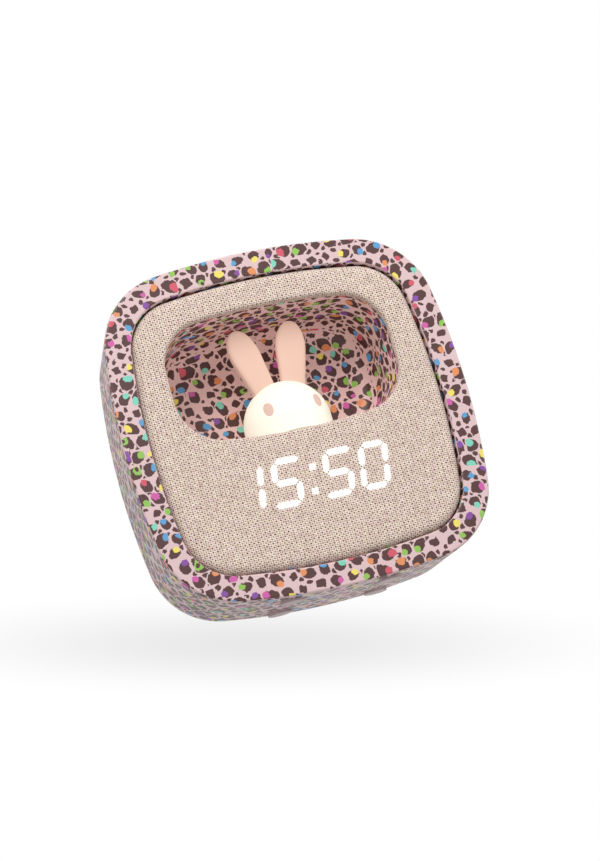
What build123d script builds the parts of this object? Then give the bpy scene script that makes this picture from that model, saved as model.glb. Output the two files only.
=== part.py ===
from build123d import *
import os
from math import cos, hypot, radians, sin, sqrt, tan

os.makedirs("parts", exist_ok=True)

# Bedside alarm clock with a night light, in millimetres.
# X runs to the right seen from the front, Y runs back through the case, Z is up.
# The origin is on the floor under the middle of the clock.

# ---------------------------------------------------------------- driving sizes

# Case: a square with bulged sides and large corners, tapering towards the back.
case_half = 67.0
case_depth = 58.0
case_bulge = 6.8
case_corner = 30.0
side_draft = 3.87
rear_edge_radius = 22.0
case_wall = 2.4
rim_width = 10.0
rim_skin = 2.4
rim_outer_round = 1.0
rim_inner_round = 0.8
pocket_wall = 2.0
ledge_depth = 6.5
ledge_thickness = 2.5
ledge_reach = 5.5

# Front panel: a moulded carrier wrapped in fabric.
panel_gap = 0.8
fabric_thickness = 0.8
carrier_thickness = 2.4
carrier_skirt = 2.0
panel_edge_radius = 4.5
panel_boss_radius = 2.4
panel_boss_inset = 22.7
panel_tab_radius = 3.8

# Window in the panel, and the tub behind it.
window_side_band = 12.4
window_top_band = 10.9
window_floor = -4.9
window_corner = 18.0
window_bulge_x = 0.3
window_bulge_z = 3.8
window_edge_radius = 1.4
liner_room = 6.9
niche_draft = 1.5
niche_back_radius = 7.5
niche_wall = 1.8
niche_flange = 2.5
niche_flange_thickness = 1.6
niche_ear_radius = 2.8
niche_ear_spacing = 20.0
niche_ear_reach = 4.4

# Night light: a hollow dome with two ears and two eyes.
lamp_radius = 16.75
lamp_wall = 1.6
lamp_depth = 17.5
lamp_height = 1.8
lamp_seat_lift = 0.25
lamp_clearance = 0.3
lamp_post_inset = 1.2
lamp_post_radius = 2.4
lamp_post_height = 8.0
ear_spread = 5.9
ear_depth = 15.0
ear_base_height = 17.0
ear_tilt = 11.0
ear_headroom = 4.2
ear_width = 11.2
ear_base_width = 9.0
ear_thickness = 5.4
ear_round = 2.3
ear_tip_length = 9.5
ear_peg_radius = 1.5
ear_peg_length = 4.0
eye_width = 3.3
eye_height = 5.6
eye_inlay = 0.6
eye_left = -9.2
eye_right = 10.2
eye_level = 5.65
lamp_board_end = 2.55
lamp_board_width = 20.0
lamp_board_drop = 2.3
lamp_light_hole = 8.0
lamp_led_size = 3.0
lamp_led_height = 1.2
lamp_led_circle = 4.6

# Display: four seven-bar digits with a colon, behind the fabric.
digit_height = 17.9
digit_width = 10.7
digit_pitch = 14.0
colon_gap = 19.85
digit_slant = 0.17
bar_width = 2.0
bar_gap = 0.35
display_centre_x = -0.95
display_centre_z = -24.6
display_margin = 2.6
display_fit = 0.5
diffuser_thickness = 0.6
reflector_thickness = 4.6
light_piece_inset = 0.04
light_piece_length = 3.4
display_led_size = 1.2
display_led_height = 0.8
display_screw_offset = 35.5
display_board_half = 38.0
display_board_height = 22.0

# Circuit boards and small screws.
board_thickness = 1.6
screw_radius = 1.0
screw_head_radius = 1.9
screw_head_height = 1.4
screw_hole_clearance = 0.15
thread_clearance = 0.02
recess_share = 1.3
recess_width = 0.6
recess_depth = 0.7
post_root = 1.2

# Back cover.
cover_margin = 1.5
cover_bulge = 2.4
cover_corner = 14.0
cover_thickness = 2.4
cover_sink = 0.2
cover_gap = 0.25
cover_ledge = 4.0
cover_land = 3.5
cover_ledge_thickness = 2.6
cover_edge_round = 0.5
cover_screw_inset = 9.8
cover_boss_radius = 3.6
cover_boss_length = 8.9
cover_screw_radius = 1.3
cover_head_radius = 2.4
cover_head_height = 1.4
cover_head_sink = 0.2
cover_screw_length = 8.0

# Main board behind the tub.
standoff_length = 8.6
standoff_radius = 2.6
standoff_inset = 4.5
standoff_edge = 3.0
board_inset_right = 5.5
board_inset_left = 7.0
board_boss_gap = 0.6
board_speaker_gap = 5.0
board_speaker_side = 6.0
board_screw_length = 5.0

# Buttons on the back.
rear_button_margin = 10.75
rear_button_drop = 14.2
rear_button_radius = 4.0
rear_button_proud = 1.2
rear_button_travel = 0.6
button_clearance = 0.3
button_flange_width = 1.4
button_flange_thickness = 1.1
button_stem_radius = 1.8
button_edge_round = 0.5
mark_depth = 0.3
mark_width = 0.8
mark_length = 3.6
switch_size = 6.0
switch_height = 3.5
switch_corner = 0.4
plunger_radius = 1.5
plunger_fit = 0.1
plunger_exposed = 1.2
plunger_sunk = 0.3

# Alarm slide switch and charging socket on the back.
slide_x = 22.0
slide_z = -6.0
slide_travel = 3.0
slide_grip_width = 5.2
slide_grip_height = 3.6
slide_proud = 0.8
slide_body_width = 9.0
slide_body_height = 4.6
slide_body_depth = 3.4
slide_post = 2.0
slide_grip_corner = 0.8
slide_ribs = 3
slide_rib_pitch = 1.3
slide_rib_width = 0.4
slide_rib_margin = 0.6
slot_corner = 1.0
socket_x = 22.0
socket_z = -20.0
socket_width = 8.9
socket_height = 3.2
socket_skin = 0.35
socket_sink = 0.6
socket_opening_gap = 0.35
tongue_width = 6.6
tongue_thickness = 0.7
tongue_sink = 1.0
socket_floor_thickness = 1.2

# Loudspeaker behind the grille.
speaker_boss_side = 18.2
speaker_boss_rise = 14.2
speaker_radius = 17.0
speaker_flange = 1.5
speaker_basket_depth = 9.4
speaker_skin = 0.8
magnet_radius = 9.0
magnet_depth = 5.5
cone_skin = 0.5
cone_rim_thickness = 0.6
terminal_reach = 5.0
terminal_width = 4.0
cone_depth = 5.0
cone_dome_radius = 5.0
cone_dome_rise = 1.2
voice_coil_wall = 2.0
collar_wall = 1.4
collar_height = 3.4
grille_hole_radius = 1.0
grille_pitch = 4.2
grille_rings = 3

# Rechargeable cell in its tray, behind the display.
cell_width = 50.0
cell_height = 30.0
cell_thickness = 8.0
cell_centre_z = -31.0
cell_round = 1.5
cell_gap = 0.3
tray_depth = 11.0
tray_wall = 1.6
tray_lip = 5.0
tray_post_x = 31.5
tray_post_z = -40.0
tray_post_radius = 2.8

# Snooze button on top.
snooze_depth = 26.0
snooze_length = 34.0
snooze_width = 14.0
snooze_proud = 1.0
snooze_travel = 0.6
snooze_flange_width = 1.5
snooze_flange_thickness = 1.3
snooze_land_thickness = 1.0
snooze_stem_length = 1.6
snooze_edge_round = 0.8
snooze_board_half = 27.0
snooze_board_width = 14.0
snooze_post_offset = 23.0

# Feet: thin pads let into the underside.
foot_radius = 4.5
foot_height = 1.6
foot_proud = 0.35
foot_gap = 0.1
foot_edge_round = 0.3
foot_spread = 19.0
foot_front = 9.0
foot_rear = 33.0

# Chips on the main board: how far across and below its top edge, then width and height.
chip_thickness = 1.0
chips = {
    (-8.0, 12.0): (8.0, 8.0),
    (24.0, 19.0): (5.0, 5.0),
    (8.0, 7.0): (4.0, 4.0),
    (-24.0, 13.0): (6.0, 2.4),
}

# Leads and plugs.
lead_diameter = 1.6
ribbon_width = 7.0
ribbon_thickness = 0.5
plug_width = 6.0
plug_height = 4.6
plug_depth = 2.6
snooze_plug_inset = 2.3

# ---------------------------------------------------------------- places

# The case stands on its tapered underside, so the face leans back by the draft.
lean = radians(side_draft)
draft = tan(lean)
pilot_radius = screw_radius + thread_clearance
hole_radius = screw_radius + screw_hole_clearance
rear_round_centre = case_half - (case_depth - rear_edge_radius) * draft
rear_round_centre -= rear_edge_radius / cos(lean)
back_reach = (case_depth - rear_edge_radius) * cos(lean) + rear_round_centre * sin(lean) + rear_edge_radius
front_reach = case_half * sin(lean)
face_centre = (0, (front_reach - back_reach) / 2, case_half * cos(lean) + foot_proud)
front = Plane(origin=face_centre, x_dir=(1, 0, 0), z_dir=(0, -cos(lean), sin(lean)))
inward = -front.z_dir
upward = front.y_dir

# The back cover fills the flat of the back, and what is behind it follows the cover.
cover_half = rear_round_centre - cover_margin
cover_screw_offset = cover_half - cover_screw_inset
cover_seat = case_depth - cover_sink - cover_thickness
cover_back = case_depth - cover_sink
board_back = cover_seat - standoff_length
board_front = board_back - board_thickness
speaker_x = speaker_boss_side - cover_screw_offset
speaker_z = speaker_boss_rise - cover_screw_offset
main_board_right = cover_half - board_inset_right
main_board_left = board_inset_left - cover_half
main_board_top = cover_screw_offset - cover_boss_radius - board_boss_gap
main_board_bottom = -main_board_top
main_board_step = speaker_z + speaker_radius + board_speaker_gap
main_board_leg = speaker_x + speaker_radius + board_speaker_side
rear_button_spacing = (main_board_right - main_board_left - 2 * rear_button_margin) / 3
rear_button_height = cover_screw_offset - rear_button_drop
plug_spots = {
    "lamp": (13.6, -11.0),
    "speaker": (13.6, -21.0),
    "battery": (21.5, -16.0),
    "display": (31.0, -8.0),
    "snooze": (-18.0, main_board_top - snooze_plug_inset),
}

# The window lies within the panel, and the niche reaches back to the main board's plugs.
panel_half = case_half - rim_width - panel_gap
panel_boss_offset = case_half - panel_boss_inset
window_half_width = panel_half - window_side_band
window_top = panel_half - window_top_band
window_half_height = (window_top - window_floor) / 2
window_height = (window_top + window_floor) / 2
niche_depth = board_front - liner_room - niche_wall
ear_length = (window_top - ear_base_height) / cos(radians(ear_tilt)) - ear_headroom
lamp_post_reach = lamp_radius - lamp_wall - lamp_post_inset
lamp_board_length = 2 * (lamp_post_reach + lamp_board_end)


def at(x, depth, z):
    """A point x to the right, depth behind the rim and z above its centre."""
    return front.from_local_coords(Vector(x, z, -depth))


def facing(depth, x=0, z=0):
    """A plane parallel to the face, looking out of the front."""
    return Plane(origin=at(x, depth, z), x_dir=(1, 0, 0), z_dir=front.z_dir)


def level(z, x=0, depth=0):
    """A plane square to the face, looking up."""
    return Plane(origin=at(x, depth, z), x_dir=(1, 0, 0), z_dir=upward)


def from_behind(x, depth, z):
    """A plane parallel to the face, looking out of the back."""
    return Plane(origin=at(x, depth, z), x_dir=(1, 0, 0), z_dir=inward)


def under(plane):
    """The same place, looking the other way."""
    return Plane(origin=plane.origin, x_dir=(1, 0, 0), z_dir=-plane.z_dir)


# ---------------------------------------------------------------- shared outlines


def arc_radius(half_chord, bulge):
    """Radius of an arc that stands out by bulge from its chord."""
    return (half_chord**2 + bulge**2) / (2 * bulge)


def bulged_outline(half_width, half_height, bulge_x, bulge_z, corner, inset):
    """A rectangle with bulged sides and round corners, drawn smaller by inset."""
    top_radius = arc_radius(half_width - bulge_x, bulge_z)
    right_radius = arc_radius(half_height - bulge_z, bulge_x)
    below = top_radius - half_height
    beside = right_radius - half_width
    apart = hypot(below, beside)
    along = ((top_radius - inset) ** 2 - (right_radius - inset) ** 2 + apart**2) / (2 * apart)
    out = sqrt((top_radius - inset) ** 2 - along**2)
    right = (out * below - along * beside) / apart
    top = (along * below + out * beside) / apart - below
    with BuildSketch() as outline:
        with BuildLine():
            ThreePointArc((-right, top), (0, half_height - inset), (right, top))
            ThreePointArc((right, top), (half_width - inset, 0), (right, -top))
            ThreePointArc((right, -top), (0, inset - half_height), (-right, -top))
            ThreePointArc((-right, -top), (inset - half_width, 0), (-right, top))
        make_face()
        fillet(outline.vertices(), corner - inset)
    return outline.sketch


def case_outline(inset=0):
    return bulged_outline(case_half, case_half, case_bulge, case_bulge, case_corner, inset)


def window_outline(inset=0):
    return bulged_outline(
        window_half_width, window_half_height, window_bulge_x, window_bulge_z, window_corner, inset
    )


def cover_outline(inset=0):
    return bulged_outline(cover_half, cover_half, cover_bulge, cover_bulge, cover_corner, inset)


def block(outline, near, far, x=0, z=0):
    """An outline drawn out square from one depth to another."""
    with BuildPart() as solid:
        with BuildSketch(facing(near, x, z)):
            add(outline)
        extrude(amount=near - far)
    return solid.part


def tub(outline, near, far, taper, back_radius, z=0):
    """A tapering block with its deepest edge rounded."""
    with BuildPart() as solid:
        with BuildSketch(facing(near, 0, z)):
            add(outline)
        extrude(amount=near - far, taper=taper)
        back = solid.faces().sort_by(Axis(front.origin, inward))[-1]
        fillet(back.edges(), back_radius)
    return solid.part


def rod(plane, radius, low, high):
    """A round bar along a plane's normal."""
    with BuildPart() as solid:
        with BuildSketch(plane.offset(low)):
            Circle(radius)
        extrude(amount=high - low)
    return solid.part


def bar(plane, width, height, low, high, corner=0):
    """A rectangular bar along a plane's normal."""
    with BuildPart() as solid:
        with BuildSketch(plane.offset(low)):
            if corner:
                RectangleRounded(width, height, corner)
            else:
                Rectangle(width, height)
        extrude(amount=high - low)
    return solid.part


def pill(plane, length, width, low, high):
    """A bar with half-round ends along a plane's normal."""
    with BuildPart() as solid:
        with BuildSketch(plane.offset(low)):
            SlotOverall(length, width)
        extrude(amount=high - low)
    return solid.part


def screw(plane, length, shank=screw_radius, head=screw_head_radius, height=screw_head_height):
    """A pan-head screw with a cross recess, its head's underside on the plane."""
    with BuildPart() as solid:
        with BuildSketch(plane):
            Circle(head)
        extrude(amount=height)
        fillet(solid.edges().group_by(Axis(plane.origin, plane.z_dir))[-1], height / 3)
        with BuildSketch(plane.offset(height)):
            Rectangle(head * recess_share, recess_width)
            Rectangle(recess_width, head * recess_share)
        extrude(amount=-recess_depth, mode=Mode.SUBTRACT)
        with BuildSketch(plane):
            Circle(shank)
        extrude(amount=-length)
    return solid.part


# ---------------------------------------------------------------- case shell


def corners(reach):
    """Four points at the corners of a square."""
    return [(x, z) for x in (-reach, reach) for z in (-reach, reach)]


ledge_back = ledge_depth + ledge_thickness
top_normal = upward * cos(lean) + inward * sin(lean)
top_spot = at(0, snooze_depth, case_half - snooze_depth * draft)
top = Plane(origin=top_spot, x_dir=(1, 0, 0), z_dir=top_normal)
land_half = snooze_length / 2 + snooze_flange_width
land_drop = land_half**2 / (2 * arc_radius(case_half - case_bulge, case_bulge))
snooze_seat = -(case_wall + land_drop + snooze_land_thickness / 2)
snooze_flange_top = snooze_seat - button_clearance
snooze_flange_bottom = snooze_flange_top - snooze_flange_thickness
snooze_stem_end = snooze_flange_bottom - snooze_stem_length
snooze_switch_top = snooze_stem_end - plunger_exposed
snooze_board_top = snooze_switch_top - switch_height
snooze_board_bottom = snooze_board_top - board_thickness


def on_top(x, y=0):
    """A plane on the top of the case, looking out of it."""
    return Plane(origin=top.from_local_coords(Vector(x, y, 0)), x_dir=(1, 0, 0), z_dir=top_normal)


snooze_posts = [on_top(-snooze_post_offset), on_top(snooze_post_offset)]
foot_points = [(x, depth) for x in (-foot_spread, foot_spread) for depth in (foot_front, foot_rear)]


def foot_plane(x, depth):
    """The floor under one foot."""
    spot = at(x, depth, depth * draft - case_half)
    return Plane(origin=(spot.X, spot.Y, 0))


case_form = tub(case_outline(), 0, case_depth, side_draft, rear_edge_radius)
hollow_outline = case_outline(case_wall + rim_skin * draft)
hollow_end = case_depth - case_wall
hollow_round = rear_edge_radius - case_wall
case_hollow = tub(hollow_outline, rim_skin, hollow_end, side_draft, hollow_round)
pocket_tube = block(case_outline(rim_width - pocket_wall), rim_skin / 2, ledge_back)
cover_land_front = cover_seat - cover_ledge_thickness
cover_land_block = block(cover_outline(-cover_land), cover_land_front, hollow_end + post_root)
snooze_land = pill(
    top,
    2 * (land_half + post_root),
    snooze_width + 2 * (snooze_flange_width + post_root),
    snooze_seat,
    -post_root - land_drop,
)
snooze_opening = pill(
    top,
    snooze_length + 2 * button_clearance,
    snooze_width + 2 * button_clearance,
    snooze_seat,
    snooze_proud,
)
panel_pocket = block(case_outline(rim_width), 0, ledge_depth)
ledge_opening = block(case_outline(rim_width + ledge_reach), 0, ledge_back)
cover_opening = block(cover_outline(cover_ledge), cover_seat - 2 * cover_ledge_thickness, cover_seat)
cover_recess = block(cover_outline(-cover_gap), cover_seat, case_depth)

with BuildPart() as case_shell:
    add(case_form)
    fillet(case_shell.faces().sort_by(Axis(front.origin, inward))[0].edges(), rim_outer_round)
    add(case_hollow, mode=Mode.SUBTRACT)
    add(pocket_tube)
    add(cover_land_block)
    add(snooze_land)
    add(panel_pocket, mode=Mode.SUBTRACT)
    rim_face = case_shell.faces().sort_by(Axis(front.origin, inward))[0]
    fillet(rim_face.inner_wires()[0].edges(), rim_inner_round)
    add(ledge_opening, mode=Mode.SUBTRACT)
    for x, z in corners(panel_boss_offset):
        tab = facing(ledge_back, x, z)
        add(rod(tab, panel_tab_radius, 0, ledge_thickness))
        add(rod(tab, hole_radius, 0, ledge_thickness), mode=Mode.SUBTRACT)
    add(cover_opening, mode=Mode.SUBTRACT)
    add(cover_recess, mode=Mode.SUBTRACT)
    for x, z in corners(cover_screw_offset):
        boss = facing(cover_seat, x, z)
        add(rod(boss, cover_boss_radius, 0, cover_boss_length))
        add(rod(boss, cover_screw_radius + thread_clearance, 0, cover_boss_length), mode=Mode.SUBTRACT)
    add(snooze_opening, mode=Mode.SUBTRACT)
    for post in snooze_posts:
        add(rod(post, standoff_radius, snooze_board_top, -post_root - land_drop))
        add(rod(post, pilot_radius, snooze_board_top, snooze_seat), mode=Mode.SUBTRACT)
    for x, depth in foot_points:
        add(rod(foot_plane(x, depth), foot_radius + foot_gap, -foot_height, foot_height), mode=Mode.SUBTRACT)
case_shell.part.label = "case_shell"
export_step(case_shell.part, "parts/case_shell.step")

# ---------------------------------------------------------------- front panel

fabric_inset = rim_width + panel_gap
carrier_inset = fabric_inset + fabric_thickness
carrier_front = fabric_thickness
carrier_back = carrier_front + carrier_thickness
skirt_end = ledge_depth - fabric_thickness
carrier_edge_radius = panel_edge_radius - fabric_thickness
hollow_inset = carrier_inset + carrier_skirt
liner_screw_depth = carrier_thickness - screw_radius / 2

display_width = 2 * digit_pitch + colon_gap + digit_width
display_half = display_width / 2 + display_margin
display_tall = digit_height + 2 * display_margin
diffuser_front = carrier_front + display_fit / 2
reflector_front = diffuser_front + diffuser_thickness
display_board_front = reflector_front + reflector_thickness
display_board_back = display_board_front + board_thickness
display_ends = [display_centre_x - display_screw_offset, display_centre_x + display_screw_offset]
tray_posts = [-tray_post_x, tray_post_x]


def rounded_front(inset, near, far, radius):
    """A block of the panel's outline with its front edge rounded."""
    with BuildPart() as solid:
        with BuildSketch(facing(near)):
            add(case_outline(inset))
        extrude(amount=near - far)
        fillet(solid.faces().sort_by(Axis(front.origin, inward))[0].edges(), radius)
    return solid.part


panel_block = rounded_front(carrier_inset, carrier_front, skirt_end, carrier_edge_radius)
panel_hollow = block(case_outline(hollow_inset), carrier_back, ledge_depth)
window_hole = block(window_outline(-fabric_thickness), 0, ledge_depth, z=window_height)
display_window = bar(
    facing(carrier_back, display_centre_x, display_centre_z),
    2 * (display_half + display_fit),
    display_tall + 2 * display_fit,
    0,
    carrier_thickness,
)

niche_ears = [
    (side * (window_half_width + niche_ear_reach), window_height + rise)
    for side in (-1, 1)
    for rise in (-niche_ear_spacing / 2, niche_ear_spacing / 2)
]

with BuildPart() as panel_carrier:
    add(panel_block)
    add(panel_hollow, mode=Mode.SUBTRACT)
    add(window_hole, mode=Mode.SUBTRACT)
    add(display_window, mode=Mode.SUBTRACT)
    for x, z in corners(panel_boss_offset):
        boss = facing(ledge_depth, x, z)
        boss_length = ledge_depth - carrier_back + post_root
        add(rod(boss, panel_boss_radius, 0, boss_length))
        add(rod(boss, pilot_radius, 0, boss_length), mode=Mode.SUBTRACT)
    for x in display_ends:
        boss = facing(display_board_front, x, display_centre_z)
        boss_length = display_board_front - carrier_back
        add(rod(boss, standoff_radius, 0, boss_length + post_root))
        add(rod(boss, pilot_radius, 0, boss_length), mode=Mode.SUBTRACT)
    for x in tray_posts:
        post = facing(tray_depth, x, tray_post_z)
        add(rod(post, tray_post_radius, 0, tray_depth - carrier_back + post_root))
        add(rod(post, pilot_radius, 0, board_screw_length), mode=Mode.SUBTRACT)
    for x, z in niche_ears:
        add(rod(facing(carrier_back, x, z), pilot_radius, 0, liner_screw_depth), mode=Mode.SUBTRACT)
panel_carrier.part.label = "panel_carrier"
export_step(panel_carrier.part, "parts/panel_carrier.step")

fabric_block = rounded_front(fabric_inset, 0, ledge_depth, panel_edge_radius)
window_cut = block(window_outline(), 0, ledge_depth, z=window_height)

with BuildPart() as fabric_cover:
    add(fabric_block)
    add(window_cut, mode=Mode.SUBTRACT)
    rim_of_window = fabric_cover.faces().sort_by(Axis(front.origin, inward))[0].inner_wires()[0]
    fillet(rim_of_window.edges(), window_edge_radius)
    add(panel_hollow, mode=Mode.SUBTRACT)
    add(panel_block - window_hole, mode=Mode.SUBTRACT)
fabric_cover.part.label = "fabric_cover"
export_step(fabric_cover.part, "parts/fabric_cover.step")

with BuildPart() as panel_screws:
    for x, z in corners(panel_boss_offset):
        add(screw(from_behind(x, ledge_back, z), ledge_back - carrier_back))
panel_screws.part.label = "panel_screws"
export_step(panel_screws.part, "parts/panel_screws.step")

# ---------------------------------------------------------------- niche liner

lamp_seat = window_floor + lamp_seat_lift
lamp_underside = window_floor - lamp_board_drop
liner_back = niche_depth + niche_wall
lamp_posts = [-lamp_post_reach, lamp_post_reach]
lamp_top = lamp_height + lamp_radius

niche_hollow = tub(
    window_outline(), carrier_back, niche_depth, niche_draft, niche_back_radius, z=window_height
)
niche_outside = tub(
    window_outline(-niche_wall),
    carrier_back,
    liner_back,
    niche_draft,
    niche_back_radius + niche_wall,
    z=window_height,
)
flange_back = carrier_back + niche_flange_thickness
niche_lip = block(window_outline(-niche_wall - niche_flange), carrier_back, flange_back, z=window_height)
lamp_stand = level(0, 0, lamp_depth)
lamp_nest = rod(lamp_stand, lamp_radius + lamp_clearance, lamp_seat, lamp_top)

with BuildPart() as niche_liner:
    add(niche_outside)
    add(niche_lip)
    for x, z in niche_ears:
        add(rod(facing(flange_back, x, z), niche_ear_radius, 0, niche_flange_thickness))
        add(rod(facing(flange_back, x, z), hole_radius, 0, niche_flange_thickness), mode=Mode.SUBTRACT)
    add(pill(lamp_stand, lamp_board_length, lamp_board_width, lamp_underside, window_floor))
    add(niche_hollow, mode=Mode.SUBTRACT)
    add(lamp_nest, mode=Mode.SUBTRACT)
    add(rod(lamp_stand, lamp_light_hole, lamp_underside, lamp_height), mode=Mode.SUBTRACT)
    for x in lamp_posts:
        hole = level(0, x, lamp_depth)
        add(rod(hole, hole_radius, lamp_underside, lamp_seat), mode=Mode.SUBTRACT)
niche_liner.part.label = "niche_liner"
export_step(niche_liner.part, "parts/niche_liner.step")

with BuildPart() as niche_screws:
    for x, z in niche_ears:
        add(screw(from_behind(x, flange_back, z), niche_flange_thickness + liner_screw_depth))
niche_screws.part.label = "niche_screws"
export_step(niche_screws.part, "parts/niche_screws.step")

# ---------------------------------------------------------------- night light

lamp_view = facing(lamp_depth, 0, lamp_height)


def dome(radius, bottom):
    """A round-topped body of revolution standing on the lamp's axis."""
    with BuildPart() as solid:
        with BuildSketch(lamp_view):
            with BuildLine():
                Polyline((0, radius), (0, bottom), (radius, bottom), (radius, 0))
                RadiusArc((radius, 0), (0, radius), -radius)
            make_face()
        revolve(axis=Axis(lamp_view.origin, upward))
    return solid.part


def ear_plane(side):
    """A plane through one ear, its own y axis along the ear."""
    tilt = radians(ear_tilt) * side
    along = upward * cos(tilt) + Vector(1, 0, 0) * sin(tilt)
    across = along.cross(front.z_dir)
    return Plane(origin=at(side * ear_spread, ear_depth, ear_base_height), x_dir=across, z_dir=front.z_dir)


def ear_blade(plane):
    """A flat ear with a rounded tip, running down into the dome."""
    shoulder = ear_length - ear_tip_length
    with BuildPart() as solid:
        with BuildSketch(plane.offset(-ear_thickness / 2)):
            with BuildLine():
                Line((-ear_width / 2, shoulder), (-ear_base_width / 2, -ear_peg_length))
                Line((-ear_base_width / 2, -ear_peg_length), (ear_base_width / 2, -ear_peg_length))
                Line((ear_base_width / 2, -ear_peg_length), (ear_width / 2, shoulder))
                EllipticalCenterArc((0, shoulder), ear_width / 2, ear_tip_length, arc_size=180)
            make_face()
        extrude(amount=ear_thickness)
        long_edges = solid.edges().filter_by(lambda edge: abs(edge.tangent_at(0.5).dot(plane.z_dir)) < 0.1)
        fillet(long_edges, ear_round)
    return solid.part


def eye_spot(x, radius, deep):
    """The part of an upright oval that lies between two dome surfaces."""
    with BuildPart() as solid:
        with BuildSketch(facing(lamp_depth, x, eye_level)):
            Ellipse(eye_width / 2 + radius, eye_height / 2 + radius)
        extrude(amount=lamp_radius * 2)
        add(dome(lamp_radius - deep, -lamp_height), mode=Mode.SUBTRACT)
    return solid.part


lamp_outside = dome(lamp_radius, lamp_seat - lamp_height)
lamp_inside = dome(lamp_radius - lamp_wall, lamp_seat - lamp_height)
ear_sides = {"lamp_ear_left": -1, "lamp_ear_right": 1}

with BuildPart() as lamp_head:
    add(lamp_outside)
    add(lamp_inside, mode=Mode.SUBTRACT)
    for x in lamp_posts:
        post = level(lamp_seat, x, lamp_depth)
        add(rod(post, lamp_post_radius, 0, lamp_post_height))
        add(rod(post, pilot_radius, 0, lamp_post_height - post_root), mode=Mode.SUBTRACT)
    for side in ear_sides.values():
        along = ear_plane(side)
        peg = Plane(origin=along.origin, x_dir=along.x_dir, z_dir=along.y_dir)
        add(rod(peg, ear_peg_radius + thread_clearance, -ear_peg_length, ear_peg_length), mode=Mode.SUBTRACT)
    for x in (eye_left, eye_right):
        add(eye_spot(x, thread_clearance, eye_inlay + thread_clearance), mode=Mode.SUBTRACT)
lamp_head.part.label = "lamp_head"
export_step(lamp_head.part, "parts/lamp_head.step")

for name, side in ear_sides.items():
    along = ear_plane(side)
    peg = Plane(origin=along.origin, x_dir=along.x_dir, z_dir=along.y_dir)
    with BuildPart() as lamp_ear:
        add(ear_blade(along))
        add(dome(lamp_radius + thread_clearance, -lamp_radius), mode=Mode.SUBTRACT)
        add(rod(peg, ear_peg_radius, -ear_peg_length + lamp_wall / 2, ear_peg_length))
    lamp_ear.part.label = name
    export_step(lamp_ear.part, f"parts/{name}.step")

with BuildPart() as lamp_eyes:
    for x in (eye_left, eye_right):
        add(eye_spot(x, 0, eye_inlay) & lamp_outside)
lamp_eyes.part.label = "lamp_eyes"
export_step(lamp_eyes.part, "parts/lamp_eyes.step")

lamp_board_bottom = lamp_underside - board_thickness
with BuildPart() as lamp_board:
    add(pill(lamp_stand, lamp_board_length, lamp_board_width, lamp_board_bottom, lamp_underside))
    for x in lamp_posts:
        hole = level(0, x, lamp_depth)
        add(rod(hole, hole_radius, lamp_board_bottom, lamp_underside), mode=Mode.SUBTRACT)
lamp_board.part.label = "lamp_board"
export_step(lamp_board.part, "parts/lamp_board.step")

with BuildPart() as lamp_leds:
    with BuildSketch(level(lamp_underside, 0, lamp_depth)):
        with PolarLocations(lamp_led_circle, 4):
            Rectangle(lamp_led_size, lamp_led_size)
    extrude(amount=lamp_led_height)
lamp_leds.part.label = "lamp_leds"
export_step(lamp_leds.part, "parts/lamp_leds.step")

with BuildPart() as lamp_screws:
    for x in lamp_posts:
        below = under(level(lamp_board_bottom, x, lamp_depth))
        add(screw(below, lamp_seat - lamp_board_bottom + board_screw_length))
lamp_screws.part.label = "lamp_screws"
export_step(lamp_screws.part, "parts/lamp_screws.step")

# ---------------------------------------------------------------- display

half_tall = digit_height / 2
bar_long = half_tall - bar_width / 2
digit_half = digit_width / 2
digit_columns = [
    -colon_gap / 2 - digit_pitch,
    -colon_gap / 2,
    colon_gap / 2,
    colon_gap / 2 + digit_pitch,
]
bar_places = [
    (0, half_tall - bar_width / 2, False),
    (0, 0, False),
    (0, bar_width / 2 - half_tall, False),
    (-digit_half + bar_width / 2, bar_long / 2, True),
    (digit_half - bar_width / 2, bar_long / 2, True),
    (-digit_half + bar_width / 2, -bar_long / 2, True),
    (digit_half - bar_width / 2, -bar_long / 2, True),
]
colon_dots = [(0, bar_long / 2), (0, -bar_long / 2)]


def slanted(x, z):
    """A point on the display after the digits lean to the right."""
    return (display_centre_x + x + z * digit_slant, display_centre_z + z)


def bar_outline(x, z, upright, inset):
    """One bar of a digit: a slim hexagon that leans with its digit."""
    half = bar_width / 2
    reach = (bar_long if upright else digit_width - bar_width) / 2 - bar_gap
    points = [(-reach, 0), (half - reach, half), (reach - half, half)]
    points += [(reach, 0), (reach - half, -half), (half - reach, -half)]
    if upright:
        points = [(across, along) for along, across in points]
    with BuildSketch() as outline:
        with BuildLine():
            Polyline(*[slanted(x + a, z + b) for a, b in points], close=True)
        make_face()
        offset(amount=-inset, kind=Kind.INTERSECTION)
    return outline.sketch


def dot_outline(x, z, inset):
    """One square dot of the colon."""
    half = bar_width / 2
    with BuildSketch() as outline:
        with BuildLine():
            square = [(-half, -half), (half, -half), (half, half), (-half, half)]
            Polyline(*[slanted(x + a, z + b) for a, b in square], close=True)
        make_face()
        offset(amount=-inset, kind=Kind.INTERSECTION)
    return outline.sketch


def light_outlines(inset):
    """All the bars of the four digits and the colon's dots."""
    digits = [
        bar_outline(column + x, z, upright, inset)
        for column in digit_columns
        for x, z, upright in bar_places
    ]
    return digits + [dot_outline(x, z, inset) for x, z in colon_dots]


with BuildPart() as display_diffuser:
    add(
        bar(
            facing(reflector_front, display_centre_x, display_centre_z),
            2 * display_half,
            display_tall,
            0,
            diffuser_thickness,
        )
    )
display_diffuser.part.label = "display_diffuser"
export_step(display_diffuser.part, "parts/display_diffuser.step")

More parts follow.
